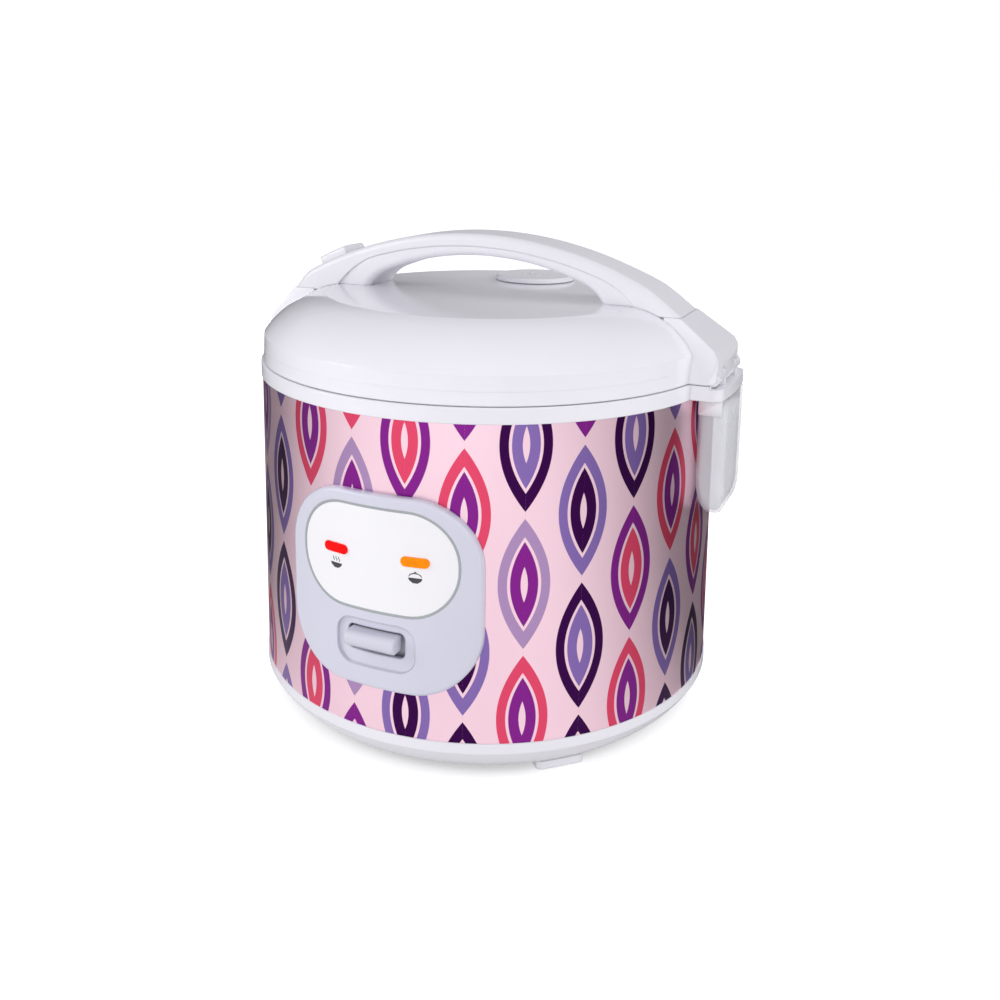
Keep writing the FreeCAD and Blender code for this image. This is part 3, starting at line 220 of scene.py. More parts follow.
soft_box("front_box", place=(0.30, -1.35, 0.30), aim_height=0.12, size=(0.9, 0.6), power=7.0)
soft_box("left_box", place=(-1.05, -0.80, 0.75), aim_height=0.15, size=(0.7, 0.7), power=6.8, mirrored=True)
soft_box("right_box", place=(1.20, 0.27, 0.75), aim_height=0.15, size=(0.6, 0.7), power=7.8)
soft_box("back_box", place=(-0.30, 1.40, 0.45), aim_height=0.13, size=(0.9, 0.6), power=6.5)

# %% [markdown]
# ## The paper under the cooker
# The cooker stands on white paper. Plain white paper under these lamps would come out grey, and more
# light would burn out the lid. So the paper glows a little for the camera, less close to the base,
# where it has to show the cooker's shadow. That weaker glow is itself a painted shadow, a darker ring
# round the base. In shiny pieces it has the same flags as the room.

# %% Floor
paper_tone = 0.60
shadow_reach, open_reach = 0.106, 0.152
painted_shadow_glow, open_glow = 0.36, 0.89
mirrored_glow = 0.39
floor_half = 6.0
floor_z = -0.03 * MM


def from_axis(tree, x, y):
    """How far a point lies from the body's axis."""
    squares = calc(tree, "ADD", calc(tree, "MULTIPLY", x, x), calc(tree, "MULTIPLY", y, y))
    return calc(tree, "SQRT", squares)


def floor_paper():
    mat = bpy.data.materials.new("floor_paper")
    mat.use_nodes = True
    tree = mat.node_tree
    tree.nodes.clear()
    x, y, _ = coordinates(tree, "Object")
    reach = from_axis(tree, x, y)
    side = flags(tree, calc(tree, "DIVIDE", x, reach), calc(tree, "DIVIDE", y, reach))
    rays = add_node(tree, "LightPath")
    seen = calc(tree, "MAXIMUM", rays.outputs["Is Camera Ray"], rays.outputs["Is Transmission Ray"])
    shiny = rays.outputs["Is Glossy Ray"]

    paper = add_node(tree, "BsdfDiffuse")
    dark_side = calc(tree, "MULTIPLY", shiny, calc(tree, "SUBTRACT", 1.0, side))
    tone = calc(tree, "MULTIPLY", calc(tree, "SUBTRACT", 1.0, dark_side), paper_tone)
    feed(tree, tone, paper.inputs["Color"])
    glow = add_node(tree, "Emission")
    # Weaker glow near the base: a painted shadow, a darker ring round the cooker's foot.
    near_far = eased(tree, reach, shadow_reach, open_reach, painted_shadow_glow, open_glow)
    mirrored = calc(tree, "MULTIPLY", calc(tree, "MULTIPLY", shiny, side), mirrored_glow)
    feed(tree, calc(tree, "ADD", calc(tree, "MULTIPLY", seen, near_far), mirrored), glow.inputs["Strength"])
    both = add_node(tree, "AddShader")
    feed(tree, paper.outputs[0], both.inputs[0])
    feed(tree, glow.outputs[0], both.inputs[1])
    feed(tree, both.outputs[0], add_node(tree, "OutputMaterial").inputs["Surface"])
    return mat


floor_mesh = bpy.data.meshes.new("floor")
floor_signs = [(-1, -1), (1, -1), (1, 1), (-1, 1)]
floor_corners = [(a * floor_half, b * floor_half, floor_z) for a, b in floor_signs]
floor_mesh.from_pydata(floor_corners, [], [(0, 1, 2, 3)])
floor_mesh.materials.append(floor_paper())
floor = bpy.data.objects.new("floor", floor_mesh)
scene.collection.objects.link(floor)
print("floor: one sheet of paper,", 2 * floor_half, "m wide")

# %% [markdown]
# ## What all finishes share
# No finish here is one flat colour: a real surface has a slight cloudiness, a gloss that changes from
# place to place, and a fine grain. Picture textures could hold all three, but noise in the object's
# own metres needs no unwrapping and has the same grain on a large piece as on a small one.

# %% Finish helpers
relief_depth = 0.2 * MM


def surface(name):
    """A new material, its node tree and its Principled shader."""
    mat = bpy.data.materials.new(name)
    mat.use_nodes = True
    return mat, mat.node_tree, mat.node_tree.nodes["Principled BSDF"]


def place_noise(tree, scale, detail=2.0):
    """Noise in the object's own metres, so its grain has the same size on every piece."""
    where = add_node(tree, "TexCoord")
    noise = add_node(tree, "TexNoise")
    noise.inputs["Scale"].default_value = scale
    noise.inputs["Detail"].default_value = detail
    feed(tree, where.outputs["Object"], noise.inputs["Vector"])
    return noise.outputs["Fac"]


def two_tone(tree, factor, first, second, low=0.35, high=0.65):
    """The first colour where the factor is low, the second where it is high."""
    ramp = add_node(tree, "ValToRGB")
    stops = ramp.color_ramp.elements
    stops[0].position = low
    stops[1].position = high
    stops[0].color = (*first, 1.0)
    stops[1].color = (*second, 1.0)
    feed(tree, factor, ramp.inputs["Fac"])
    return ramp.outputs["Color"]


def cloudy_colour(tree, bsdf, factor, colour, shade):
    """A base colour that a noise darkens a little, at most to the given share."""
    darker = tuple(c * shade for c in colour)
    feed(tree, two_tone(tree, factor, darker, colour), bsdf.inputs["Base Color"])


def uneven_gloss(tree, bsdf, factor, low, high):
    """A roughness that a noise moves between two values."""
    feed(tree, straight(tree, factor, 0.0, 1.0, low, high), bsdf.inputs["Roughness"])


def grain_bump(tree, bsdf, height, strength, edge=0.0):
    """A fine relief, over edges that look rounded by the given radius."""
    bump = add_node(tree, "Bump")
    bump.inputs["Strength"].default_value = strength
    bump.inputs["Distance"].default_value = relief_depth
    feed(tree, height, bump.inputs["Height"])
    if edge:
        soft_edge = add_node(tree, "Bevel", samples=6)
        soft_edge.inputs["Radius"].default_value = edge
        feed(tree, soft_edge.outputs["Normal"], bump.inputs["Normal"])
    feed(tree, bump.outputs["Normal"], bsdf.inputs["Normal"])


def paint(tree, under, over, mask):
    """The second colour over the first, where the mask is 1."""
    node = add_node(tree, "Mix", data_type="RGBA")
    feed(tree, mask, node.inputs["Factor"])
    feed(tree, under, node.inputs["A"])
    feed(tree, over, node.inputs["B"])
    return node.outputs["Result"]


# %% [markdown]
# ## Moulded plastic
# Lid, rings, base and handle are injection-moulded in a cool white. A flat colour would look like
# paper, so the finish has three scales: a faint cloudiness in the colour, a slow change of gloss
# where hands polish it, and a very fine grain from the mould's polished steel. A Bevel node rounds
# the look of the edges, which no mould leaves sharp.

# %% Plastic finishes
cloud_scale, polish_scale, mould_scale = 18.0, 25.0, 2600.0
cool_white = (0.84, 0.835, 0.87)
handle_white = (0.80, 0.795, 0.825)


def moulded_plastic(name, colour, rough, grain=0.05, shade=0.985, edge=0.8 * MM):
    mat, tree, bsdf = surface(name)
    cloudy_colour(tree, bsdf, place_noise(tree, cloud_scale), colour, shade)
    uneven_gloss(tree, bsdf, place_noise(tree, polish_scale), rough * 0.92, rough * 1.1)
    bsdf.inputs["IOR"].default_value = 1.5
    grain_bump(tree, bsdf, place_noise(tree, mould_scale), grain, edge)
    return mat


white_plastic = moulded_plastic("white_plastic", cool_white, rough=0.16, grain=0.03)
lid_plastic = moulded_plastic("lid_plastic", cool_white, rough=0.10, grain=0.03, edge=1.0 * MM)
handle_plastic = moulded_plastic("handle_plastic", handle_white, rough=0.28, grain=0.06, edge=1.4 * MM)
panel_grey = moulded_plastic("panel_grey", (0.655, 0.66, 0.75), rough=0.30, grain=0.06, edge=1.5 * MM)
lever_plastic = moulded_plastic("lever_plastic", (0.64, 0.64, 0.72), rough=0.26)
plate_white = moulded_plastic("plate_white", (0.90, 0.895, 0.905), rough=0.16, grain=0.02)
black_plastic = moulded_plastic("black_plastic", (0.03, 0.03, 0.032), rough=0.42, grain=0.2, shade=0.8)
board_brown = moulded_plastic("board_brown", (0.42, 0.30, 0.14), rough=0.5, grain=0.2, shade=0.85)
silicone = moulded_plastic("silicone", (0.66, 0.66, 0.67), rough=0.5, grain=0.15)
ferrite = moulded_plastic("ferrite", (0.09, 0.09, 0.095), rough=0.45, grain=0.3, shade=0.7)
fibre_band = moulded_plastic("fibre_band", (0.70, 0.66, 0.56), rough=0.8, grain=0.6, shade=0.8)
print("white plastic has", len(white_plastic.node_tree.nodes), "nodes")

# %% [markdown]
# ## Metal
# Inside, the heating plate and the inner lid are aluminium, turned on a lathe, so their fine lines run
# in rings round the axis. A brushed picture would have to be bent into rings, while noise that reads
# only the distance from the axis makes them by itself. Pins, posts and springs are plain steel, blades
# and terminals brass, with finer lines.

# %% Metal finishes
fine_pitch = 0.7 * MM
height_share = 0.7


def ring_lines(tree, pitch):
    """Fine turning marks: noise that changes only with the distance from the axis and the height."""
    x, y, z = coordinates(tree, "Object")
    along = calc(tree, "ADD", from_axis(tree, x, y), calc(tree, "MULTIPLY", z, height_share))
    noise = add_node(tree, "TexNoise", noise_dimensions="1D")
    noise.inputs["Scale"].default_value = 1.0 / pitch
    noise.inputs["Detail"].default_value = 3.0
    feed(tree, along, noise.inputs["W"])
    return noise.outputs["Fac"]


def turned_metal(name, colour, rough, pitch=1.1 * MM, metallic=1.0):
    mat, tree, bsdf = surface(name)
    lines = ring_lines(tree, pitch)
    cloudy_colour(tree, bsdf, lines, colour, shade=0.86)
    uneven_gloss(tree, bsdf, lines, rough * 0.75, rough * 1.3)
    bsdf.inputs["Metallic"].default_value = metallic
    grain_bump(tree, bsdf, lines, strength=0.08)
    return mat


aluminium = turned_metal("aluminium", (0.80, 0.80, 0.81), rough=0.38, metallic=0.7)
steel = turned_metal("steel", (0.62, 0.62, 0.63), rough=0.28, pitch=fine_pitch)
brass = turned_metal("brass", (0.78, 0.58, 0.26), rough=0.26, pitch=fine_pitch)
print("steel's turning lines:", round(fine_pitch / MM, 1), "mm apart")

# %% [markdown]
# ## The pot's coat
# The pot is coated with a grey non-stick ceramic with pale flecks, and a water scale is pressed into its
# back wall. Cut lines would be too fine for the mesh, so the scale is worked out in the shader from
# height and angle: short lines at an even pitch, every second one longer, without numbers.

# %% Pot coat
pot_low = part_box("inner_pot")[0]
pot_wall_radius = 0.105
scale_low = pot_low.z + 24 * MM
scale_pitch = 14 * MM
scale_middle, scale_reach = 3.0, 3.2
line_thick = 0.07
half_line = 4.0 * MM


def level_marks(tree):
    """1 on the water scale, 0 elsewhere; steps count the lines from the lowest one up."""
    x, y, z = coordinates(tree, "Object")
    angle = calc(tree, "ABSOLUTE", calc(tree, "ARCTAN2", x, y))
    along = calc(tree, "MULTIPLY", angle, pot_wall_radius)
    step = calc(tree, "DIVIDE", calc(tree, "SUBTRACT", z, scale_low), scale_pitch)
    every_second = calc(tree, "LESS_THAN", calc(tree, "FRACT", calc(tree, "MULTIPLY", step, 0.5)), 0.3)
    half_length = calc(tree, "ADD", calc(tree, "MULTIPLY", every_second, half_line), half_line)
    on_line = calc(tree, "LESS_THAN", calc(tree, "FRACT", step), line_thick)
    from_middle = calc(tree, "ABSOLUTE", calc(tree, "SUBTRACT", step, scale_middle))
    within = calc(tree, "LESS_THAN", from_middle, scale_reach)
    mark = calc(tree, "MULTIPLY", on_line, calc(tree, "LESS_THAN", along, half_length))
    return calc(tree, "MULTIPLY", mark, within)


def non_stick_coat(coat_grey, fleck_grey, scale_grey):
    mat, tree, bsdf = surface("non_stick_coat")
    flecks = place_noise(tree, scale=900.0, detail=1.0)
    coat = two_tone(tree, flecks, coat_grey, fleck_grey, low=0.66, high=0.72)
    feed(tree, paint(tree, coat, scale_grey, level_marks(tree)), bsdf.inputs["Base Color"])
    uneven_gloss(tree, bsdf, place_noise(tree, scale=40.0), low=0.28, high=0.4)
    grain_bump(tree, bsdf, flecks, strength=0.12)
    return mat


pot_coat = non_stick_coat((0.12, 0.12, 0.125), (0.34, 0.34, 0.35), (0.55, 0.55, 0.56))
print("water scale from", round(scale_low / MM, 1), "mm, a line every", round(scale_pitch / MM, 1), "mm")

# %% [markdown]
# ## The printed sleeve
# The sleeve is a steel sheet, printed flat and rolled into a tube. Its pattern is worked out on the
# unrolled sheet: one coordinate along the girth, one up the height. Upright pointed ovals stand in
# columns, every second column half a step lower, as on a traditional ogee cloth. Each oval takes one
# of five inks by chance and has an inner oval in another ink, with a pale line between the two.
# The ink is thin enough for the steel to show through, so the sheet keeps most of a metal's sheen.
# A picture of the print could be wrapped round instead, but a shader stays sharp at any distance.

# %% Unrolled sheet
sleeve_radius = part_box("outer_shell")[1].x
girth = 2 * pi * sleeve_radius
column_count = 28
column_width = girth / column_count
row_height = 0.070
ink_edge = 0.012


def unrolled(tree):
    """Arc length from the panel's middle towards the hinge, and height, in metres."""
    x, y, z = coordinates(tree, "Object")
    angle = calc(tree, "ARCTAN2", x, calc(tree, "MULTIPLY", y, -1.0))
    return calc(tree, "MULTIPLY", angle, sleeve_radius), z


def pointed_oval(tree, across, up, length, width):
    """1 inside an upright oval with pointed ends, 0 outside; its half sizes are shares of a cell."""
    upright = calc(tree, "MULTIPLY", up, 1.0 / length)
    waist = calc(tree, "SUBTRACT", 1.0, calc(tree, "MULTIPLY", upright, upright))
    half_width = calc(tree, "MULTIPLY", calc(tree, "MAXIMUM", waist, 0.001), width)
    outward = calc(tree, "DIVIDE", calc(tree, "ABSOLUTE", across), half_width)
    return eased(tree, outward, low=1.0 - ink_edge, high=1.0 + ink_edge, first=1.0, last=0.0)


print("sleeve print:", column_count, "columns of", round(column_width / MM, 1), "mm")

# %% Sleeve print
pale_pink = (0.975, 0.690, 0.775)
red_ink = (0.80, 0.070, 0.152)
plum_ink = (0.245, 0.018, 0.270)
night_ink = (0.040, 0.001, 0.064)
violet_ink = (0.250, 0.155, 0.450)
lilac_ink = (0.44, 0.28, 0.51)
outer_inks = [red_ink, plum_ink, night_ink, violet_ink, lilac_ink]
inner_inks = [plum_ink, red_ink, violet_ink, night_ink, plum_ink]


def pick_ink(tree, pick, inks):
    """One of the inks, by a number from 0 to 1."""
    ink = inks[0]
    for index, other in enumerate(inks[1:], 1):
        ink = paint(tree, ink, other, calc(tree, "GREATER_THAN", pick, index / len(inks)))
    return ink


def sleeve_print():
    mat, tree, bsdf = surface("printed_sleeve")
    along, height = unrolled(tree)
    column_place = calc(tree, "DIVIDE", along, column_width)
    column = calc(tree, "FLOOR", column_place)
    across = calc(tree, "SUBTRACT", calc(tree, "FRACT", column_place), 0.5)
    above_zero = calc(tree, "ADD", column, 100.0)
    half_drop = calc(tree, "MULTIPLY", calc(tree, "MODULO", above_zero, 2.0), 0.5)
    row_place = calc(tree, "ADD", calc(tree, "DIVIDE", height, row_height), half_drop)
    row = calc(tree, "FLOOR", row_place)
    up = calc(tree, "SUBTRACT", calc(tree, "FRACT", row_place), 0.5)

    cell = add_node(tree, "CombineXYZ")
    feed(tree, column, cell.inputs["X"])
    feed(tree, row, cell.inputs["Y"])
    chance = add_node(tree, "TexWhiteNoise", noise_dimensions="3D")
    feed(tree, cell.outputs[0], chance.inputs["Vector"])
    pick = chance.outputs["Value"]

    outer = pointed_oval(tree, across, up, length=0.475, width=0.44)
    line = pointed_oval(tree, across, up, length=0.345, width=0.285)
    inner = pointed_oval(tree, across, up, length=0.310, width=0.235)
    heart = pointed_oval(tree, across, up, length=0.130, width=0.060)
    sheet = paint(tree, pale_pink, pick_ink(tree, pick, outer_inks), outer)
    sheet = paint(tree, sheet, pale_pink, line)
    sheet = paint(tree, sheet, pick_ink(tree, pick, inner_inks), inner)
    sheet = paint(tree, sheet, pale_pink, heart)
    feed(tree, sheet, bsdf.inputs["Base Color"])
    bsdf.inputs["Metallic"].default_value = 0.85
    bsdf.inputs["Specular IOR Level"].default_value = 0.3
    uneven_gloss(tree, bsdf, place_noise(tree, scale=300.0, detail=3.0), low=0.26, high=0.34)
    grain_bump(tree, bsdf, place_noise(tree, scale=1500.0), strength=0.03)
    return mat


printed_sleeve = sleeve_print()
print("inks:", len(set(outer_inks)), "on pale pink")

# %% [markdown]
# ## Clear and coloured plastics
# The dew collector is a thin, slightly milky cup that shows water inside. As glass it would bend the
# view like a lens, so it is part clear and part veil instead. The bulbs behind the panel are real
# clear glass. The two lenses are dyed through and glow faintly, as if lit from the board behind them.

# %% Clear finishes
def thin_clear(name, tint, rough, cover):
    """A thin clear wall: most light goes straight through, and each face adds a little white veil."""
    mat, tree, bsdf = surface(name)
    cloudy_colour(tree, bsdf, place_noise(tree, scale=30.0), tint, shade=0.97)
    uneven_gloss(tree, bsdf, place_noise(tree, scale=120.0, detail=3.0), rough * 0.7, rough * 1.4)
    bsdf.inputs["Alpha"].default_value = cover
    grain_bump(tree, bsdf, place_noise(tree, scale=700.0), strength=0.04)
    return mat


def clear_glass(name, tint, rough, clear):
    mat, tree, bsdf = surface(name)
    cloudy_colour(tree, bsdf, place_noise(tree, scale=30.0), tint, shade=0.96)
    uneven_gloss(tree, bsdf, place_noise(tree, scale=120.0, detail=3.0), rough * 0.6, rough * 1.5)
    bsdf.inputs["Transmission Weight"].default_value = clear
    bsdf.inputs["IOR"].default_value = 1.46
    grain_bump(tree, bsdf, place_noise(tree, scale=700.0), strength=0.04)
    return mat


def lens(name, colour, glow):
    mat, tree, bsdf = surface(name)
    cloudy_colour(tree, bsdf, place_noise(tree, scale=400.0), colour, shade=0.85)
    bsdf.inputs["Roughness"].default_value = 0.25
    bsdf.inputs["Specular IOR Level"].default_value = 0.05
    bsdf.inputs["Emission Color"].default_value = (*colour, 1.0)
    bsdf.inputs["Emission Strength"].default_value = glow
    return mat


collector_clear = thin_clear("collector_clear", (0.80, 0.815, 0.85), rough=0.08, cover=0.40)
lamp_glass = clear_glass("lamp_glass", (1.0, 0.93, 0.85), rough=0.03, clear=0.92)
red_lens = lens("red_lens", (0.95, 0.006, 0.006), glow=0.12)
orange_lens = lens("orange_lens", (0.98, 0.27, 0.006), glow=0.12)
print("clear and dyed:", [m.name for m in (collector_clear, lamp_glass, red_lens, orange_lens)])

# %% [markdown]
# ## Which finish each piece takes
# Every solid that stays in view keeps its shape and gets its finish here, by name. Two solids have none:
# the dew collector and the thermostat's spring, which pieces further down stand for.

# %% Finishes on the solids
finish_of = {
    white_plastic: ["base", "upper_ring", "lid_liner", "steam_vent_cap", "latch_hook"],
    lid_plastic: ["lid_cover"],
    handle_plastic: ["handle_cover", "handle_grip", "latch_button"],
    printed_sleeve: ["outer_shell"],
    panel_grey: ["panel_bezel"],
    plate_white: ["panel_plate"],
    lever_plastic: ["cook_lever"],
    red_lens: ["cook_lamp_lens"],
    orange_lens: ["warm_lamp_lens"],
    lamp_glass: ["indicator_lamps"],
    aluminium: ["inner_lid", "heating_plate", "thermostat_cap"],
    pot_coat: ["inner_pot"],
    steel: ["inner_case", "heater_supports", "base_screws", "thermostat_guide", "lever_pin",
            "switch_bracket", "hinge_pin", "lid_screws", "latch_pin", "latch_spring"],
    brass: ["heater_terminals", "inlet_blades"],
    black_plastic: ["thermal_fuse", "micro_switch", "power_inlet"],
    board_brown: ["lamp_board"],
    fibre_band: ["warming_band"],
    silicone: ["lid_seal", "inner_lid_grommet", "steam_vent_seat"],
    ferrite: ["magnet"],
}
for mat, names in finish_of.items():
    for name in names:
        nodes[name].data.materials.clear()
        nodes[name].data.materials.append(mat)
finished = {name for names in finish_of.values() for name in names}
print("finished:", len(finished), "solids; left for pieces below:", sorted(set(nodes) - finished))

# %% [markdown]
# ## New pieces
# Small pieces that the solids leave out are built point by point with bmesh. Most of them are rings of
# points joined one after another, whether the ring is the section of a wire, a wall or a plate. A
# modifier could do some of this, but plain rings keep every size in sight. Each new piece rides on the
# body that carries it, so it follows when a joint moves.

# %% Piece helpers
def loose_piece(name, bm, mat):
    """Turns a bmesh into a smooth piece that rides on nothing yet."""
    bmesh.ops.recalc_face_normals(bm, faces=bm.faces)
    mesh = bpy.data.meshes.new(name)
    bm.to_mesh(mesh)
    bm.free()
    for face in mesh.polygons:
        face.use_smooth = True
    mesh.materials.append(mat)
    piece = bpy.data.objects.new(name, mesh)
    scene.collection.objects.link(piece)
    return piece


def new_piece(name, bm, body, mat):
    """Turns a bmesh into a piece that rides on a body."""
    piece = loose_piece(name, bm, mat)
    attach(piece, body)
    return piece


def joined_rings(bm, rings, closed=True):
    """Faces between each ring of points and the next; an open ring stays open at its two ends."""
    for ring, following in zip(rings, rings[1:]):
        for i in range(len(ring) if closed else len(ring) - 1):
            k = (i + 1) % len(ring)
            bm.faces.new((ring[i], ring[k], following[k], following[i]))


def lofted(bm, rings):
    """Joined rings, with a face over each end."""
    joined_rings(bm, rings)
    bm.faces.new(rings[0])
    bm.faces.new(rings[-1])


def rounded_outline(half_width, low, high, corner, steps=14):
    """The points of a rectangle with round corners, in millimetres, counter-clockwise."""
    points = []
    centres = [(half_width - corner, low + corner), (half_width - corner, high - corner),
               (corner - half_width, high - corner), (corner - half_width, low + corner)]
    for quarter, (cx, cz) in enumerate(centres):
        for step in range(steps + 1):
            angle = (quarter - 1 + step / steps) * pi / 2
            points.append((cx + corner * cos(angle), cz + corner * sin(angle)))
    return points


# %% [markdown]
# ## The bead round the plate
# A thin dark grey bead lies in the joint between the white plate and its grey frame; its dark grey is a
# painted shadow of that joint. The panel is bent round the body, so the bead's line is drawn flat, in
# millimetres across and up, and each of its points is then laid on the cylinder of the plate's face.
# A half-round section runs along that line.

# %% Plate bead
plate_low, plate_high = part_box("panel_plate")
plate_face = -plate_low.y
plate_half = plate_high.x / MM
plate_bottom, plate_top = plate_low.z / MM, plate_high.z / MM
plate_corner = (plate_top - plate_bottom) / 2 - 1
bead_half, bead_height = 0.85, 0.3
bead_pitch = 3.0


def wrapped(across, up, reach):
    """A point of the flat drawing, in millimetres, laid on the cylinder of the given radius in metres."""
    across, up = across * MM, up * MM
    return Vector((across, -sqrt(reach * reach - across * across), up))


def evenly(points, pitch):
    """The same closed line with no two points much further apart than the pitch."""
    dense = []
    for (x0, z0), (x1, z1) in zip(points, points[1:] + points[:1]):
        parts = max(1, int(sqrt((x1 - x0) ** 2 + (z1 - z0) ** 2) / pitch))
        dense += [(x0 + (x1 - x0) * i / parts, z0 + (z1 - z0) * i / parts) for i in range(parts)]
    return dense


def bead(bm, outline, reach, sides=6):
    """A half-round bead along a closed outline on the panel."""
    points = evenly(outline, bead_pitch)
    rings = []
    for index, (x, z) in enumerate(points):
        before, after = points[index - 1], points[(index + 1) % len(points)]
        run = Vector((after[0] - before[0], after[1] - before[1])).normalized()
        ring = []
        for step in range(sides + 1):
            angle = pi * step / sides
            out = cos(angle) * bead_half
            lift = sin(angle) * bead_height
            ring.append(bm.verts.new(wrapped(x + run.y * out, z - run.x * out, reach + lift * MM)))
        rings.append(ring)
    joined_rings(bm, rings + rings[:1], closed=False)


# The bead's dark grey is painted shadow: it stands for the shade in the joint round the plate.
joint_shadow_grey = moulded_plastic("joint_shadow_grey", (0.37, 0.40, 0.41), 0.25, grain=0.03, shade=0.95, edge=0.2 * MM)
bm = bmesh.new()
bead(bm, rounded_outline(plate_half, plate_bottom, plate_top, plate_corner), plate_face)
plate_shadow_bead = new_piece("plate_shadow_bead", bm, "body", joint_shadow_grey)
print("bead", [round(v / MM, 1) for v in plate_shadow_bead.dimensions], "mm")

# %% [markdown]
# ## The lamps' pictograms
# Below each lamp the plate carries a small printed sign: a bowl with steam for cooking, and a bowl under a
# cover for keeping warm. A sign could be painted in the plate's shader, but a film of ink, three
# hundredths of a millimetre proud, has a sharp outline. Each film is built from pairs of flat points
# that are wrapped onto the plate.

# %% Pictogram shapes
bowl_half, bowl_depth = 3.6, 2.5
foot_half, foot_depth = 0.4 * bowl_half, 1.08 * bowl_depth
steam_low, steam_high = 0.7, 3.3
steam_sway, steam_width, steam_gap = 0.35, 0.6, 1.7
steam_thin, steam_end = 0.35, 0.05
cover_low, cover_half, cover_rise, cover_thick = 0.6, 3.4, 2.0, 0.55
knob_low, knob_half, knob_rise = 2.7, 0.8, 0.7
thinnest = 0.02


def add_film(bm, pairs, reach):
    """A film on the panel between pairs of flat points, in millimetres."""
    rows = [[bm.verts.new(wrapped(x, z, reach)) for x, z in pair] for pair in pairs]
    joined_rings(bm, rows, closed=False)


def dome(share):
    """The height of a half circle of radius 1 at a share of its half width."""
    return sqrt(max(0.0, 1 - share * share))


def bowl(cx, cz, count=16):
    """Rim and belly of a bowl on a short foot, slice by slice."""
    pairs = []
    for step in range(count + 1):
        across = -bowl_half + 2 * bowl_half * step / count
        belly = cz - bowl_depth * dome(across / bowl_half) - thinnest
        if abs(across) < foot_half:
            belly = cz - foot_depth
        pairs.append(((cx + across, cz), (cx + across, belly)))
    return pairs


def steam_curl(cx, cz, count=12):
    """Both sides of a wavy line that thins towards its ends."""
    pairs = []
    for step in range(count + 1):
        up = step / count
        middle = cx + steam_sway * sin(2 * pi * up)
        swell = sin(pi * min(1 - steam_end, max(steam_end, up)))
        half = steam_width * (steam_thin + (1 - steam_thin) * swell) / 2
        z = cz + steam_low + (steam_high - steam_low) * up
        pairs.append(((middle - half, z), (middle + half, z)))
    return pairs


def bowl_cover(cx, cz, count=16):
    """Outside and inside of a domed cover, slice by slice."""
    pairs = []
    for step in range(count + 1):
        across = cover_half * (-1 + 2 * step / count)
        outer = cz + cover_rise * dome(across / cover_half)
        inner = cz + (cover_rise - cover_thick) * dome(across / (cover_half - cover_thick))
        pairs.append(((cx + across, max(outer, inner + thinnest)), (cx + across, inner)))
    return pairs


def cover_knob(cx, cz):
    """The small peaked knob on the cover."""
    sides = (-knob_half, 0.0, knob_half)
    return [((cx + dx, cz + knob_rise * (1 - abs(dx))), (cx + dx, cz)) for dx in sides]


print("bowl", 2 * bowl_half, "mm wide; steam", round(steam_high - steam_low, 1), "mm high")

# %% Pictograms
print_ink = moulded_plastic("print_ink", (0.045, 0.045, 0.05), 0.35, grain=0.02, shade=0.9, edge=0.1 * MM)
ink_lift = 0.03 * MM
picture_drop = 5.6
picture_face = plate_face + ink_lift
lamp_low, lamp_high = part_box("cook_lamp_lens")
cook_x = (lamp_low.x + lamp_high.x) / 2 / MM
warm_x = -cook_x
picture_z = lamp_low.z / MM - picture_drop

bm = bmesh.new()
add_film(bm, bowl(cook_x, picture_z), picture_face)
for offset in (-steam_gap, 0.0, steam_gap):
    add_film(bm, steam_curl(cook_x + offset, picture_z), picture_face)
new_piece("cook_pictogram", bm, "body", print_ink)

bm = bmesh.new()
add_film(bm, bowl(warm_x, picture_z), picture_face)
add_film(bm, bowl_cover(warm_x, picture_z + cover_low), picture_face)
add_film(bm, cover_knob(warm_x, picture_z + knob_low), picture_face)
new_piece("warm_pictogram", bm, "body", print_ink)
print("pictograms at", round(cook_x, 1), "and", round(warm_x, 1), "mm, height", round(picture_z, 1))

# %% [markdown]
# ## The lip in the lid's joint
# Between the lid and the ring below it runs a joint of less than half a millimetre. On the real lid a
# moulded lip stands just behind it, so the joint reads as a pale line and not as a black one. The lip
# is a low ring turned round the axis, left open at the hinge. It could be cut from a full ring, but a
# turn that stops short leaves clean ends.

# %% Lid lip
ring_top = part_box("upper_ring")[1].z
lip_inner, lip_outer = 127.8 * MM, 130.05 * MM
lip_low, lip_high = ring_top + 0.02 * MM, ring_top + 0.4 * MM
hinge_opening = radians(22)


def part_ring(bm, profile, start, end, count=120):
    """Sweeps a closed profile of (radius, height) points round the axis between two angles."""
    rings = []
    for step in range(count + 1):
        angle = start + (end - start) * step / count
        rings.append([bm.verts.new((r * cos(angle), r * sin(angle), z)) for r, z in profile])
    lofted(bm, rings)


lip_profile = [(lip_inner, lip_low), (lip_outer, lip_low), (lip_outer, lip_high), (lip_inner, lip_high)]
bm = bmesh.new()
part_ring(bm, lip_profile, hinge_opening, 2 * pi - hinge_opening)
new_piece("lid_lip", bm, "lid", white_plastic)
print("lid lip from", round(lip_low / MM, 2), "to", round(lip_high / MM, 2), "mm")

# %% [markdown]
# ## The dew collector
# The collector is blown thin, with no straight edge at its foot: towards the bottom its back wall
# swings away from the body and both sides draw in. The solid has that cup with plain corners. Rounding
# it with a modifier would move its walls, so a lofted cup takes its place: one rounded section at each
# height, once outside and once inside.

# %% Collector cup
collector_low, collector_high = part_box("dew_collector")
cup_back, cup_front = collector_low.x / MM, collector_high.x / MM
cup_half = collector_high.y / MM
cup_foot, cup_rim = collector_low.z / MM, collector_high.z / MM
cup_height = cup_rim - cup_foot
cup_wall, cup_corner = 1.2, 4.0
front_draft = 0.01
back_rise, back_depth = 22.0, 6.5
front_rise, front_depth = 12.0, 3.5
side_rise, side_depth = 14.0, 8.0
foot_steps = 12
plain_heights = [35.0, 50.0]


def drawn_in(up, rise, depth):
    """How far a wall has drawn in at a height above the foot, along a quarter of an ellipse."""
    if up >= rise:
        return 0.0
    return depth * (1 - sqrt(1 - (1 - up / rise) ** 2))


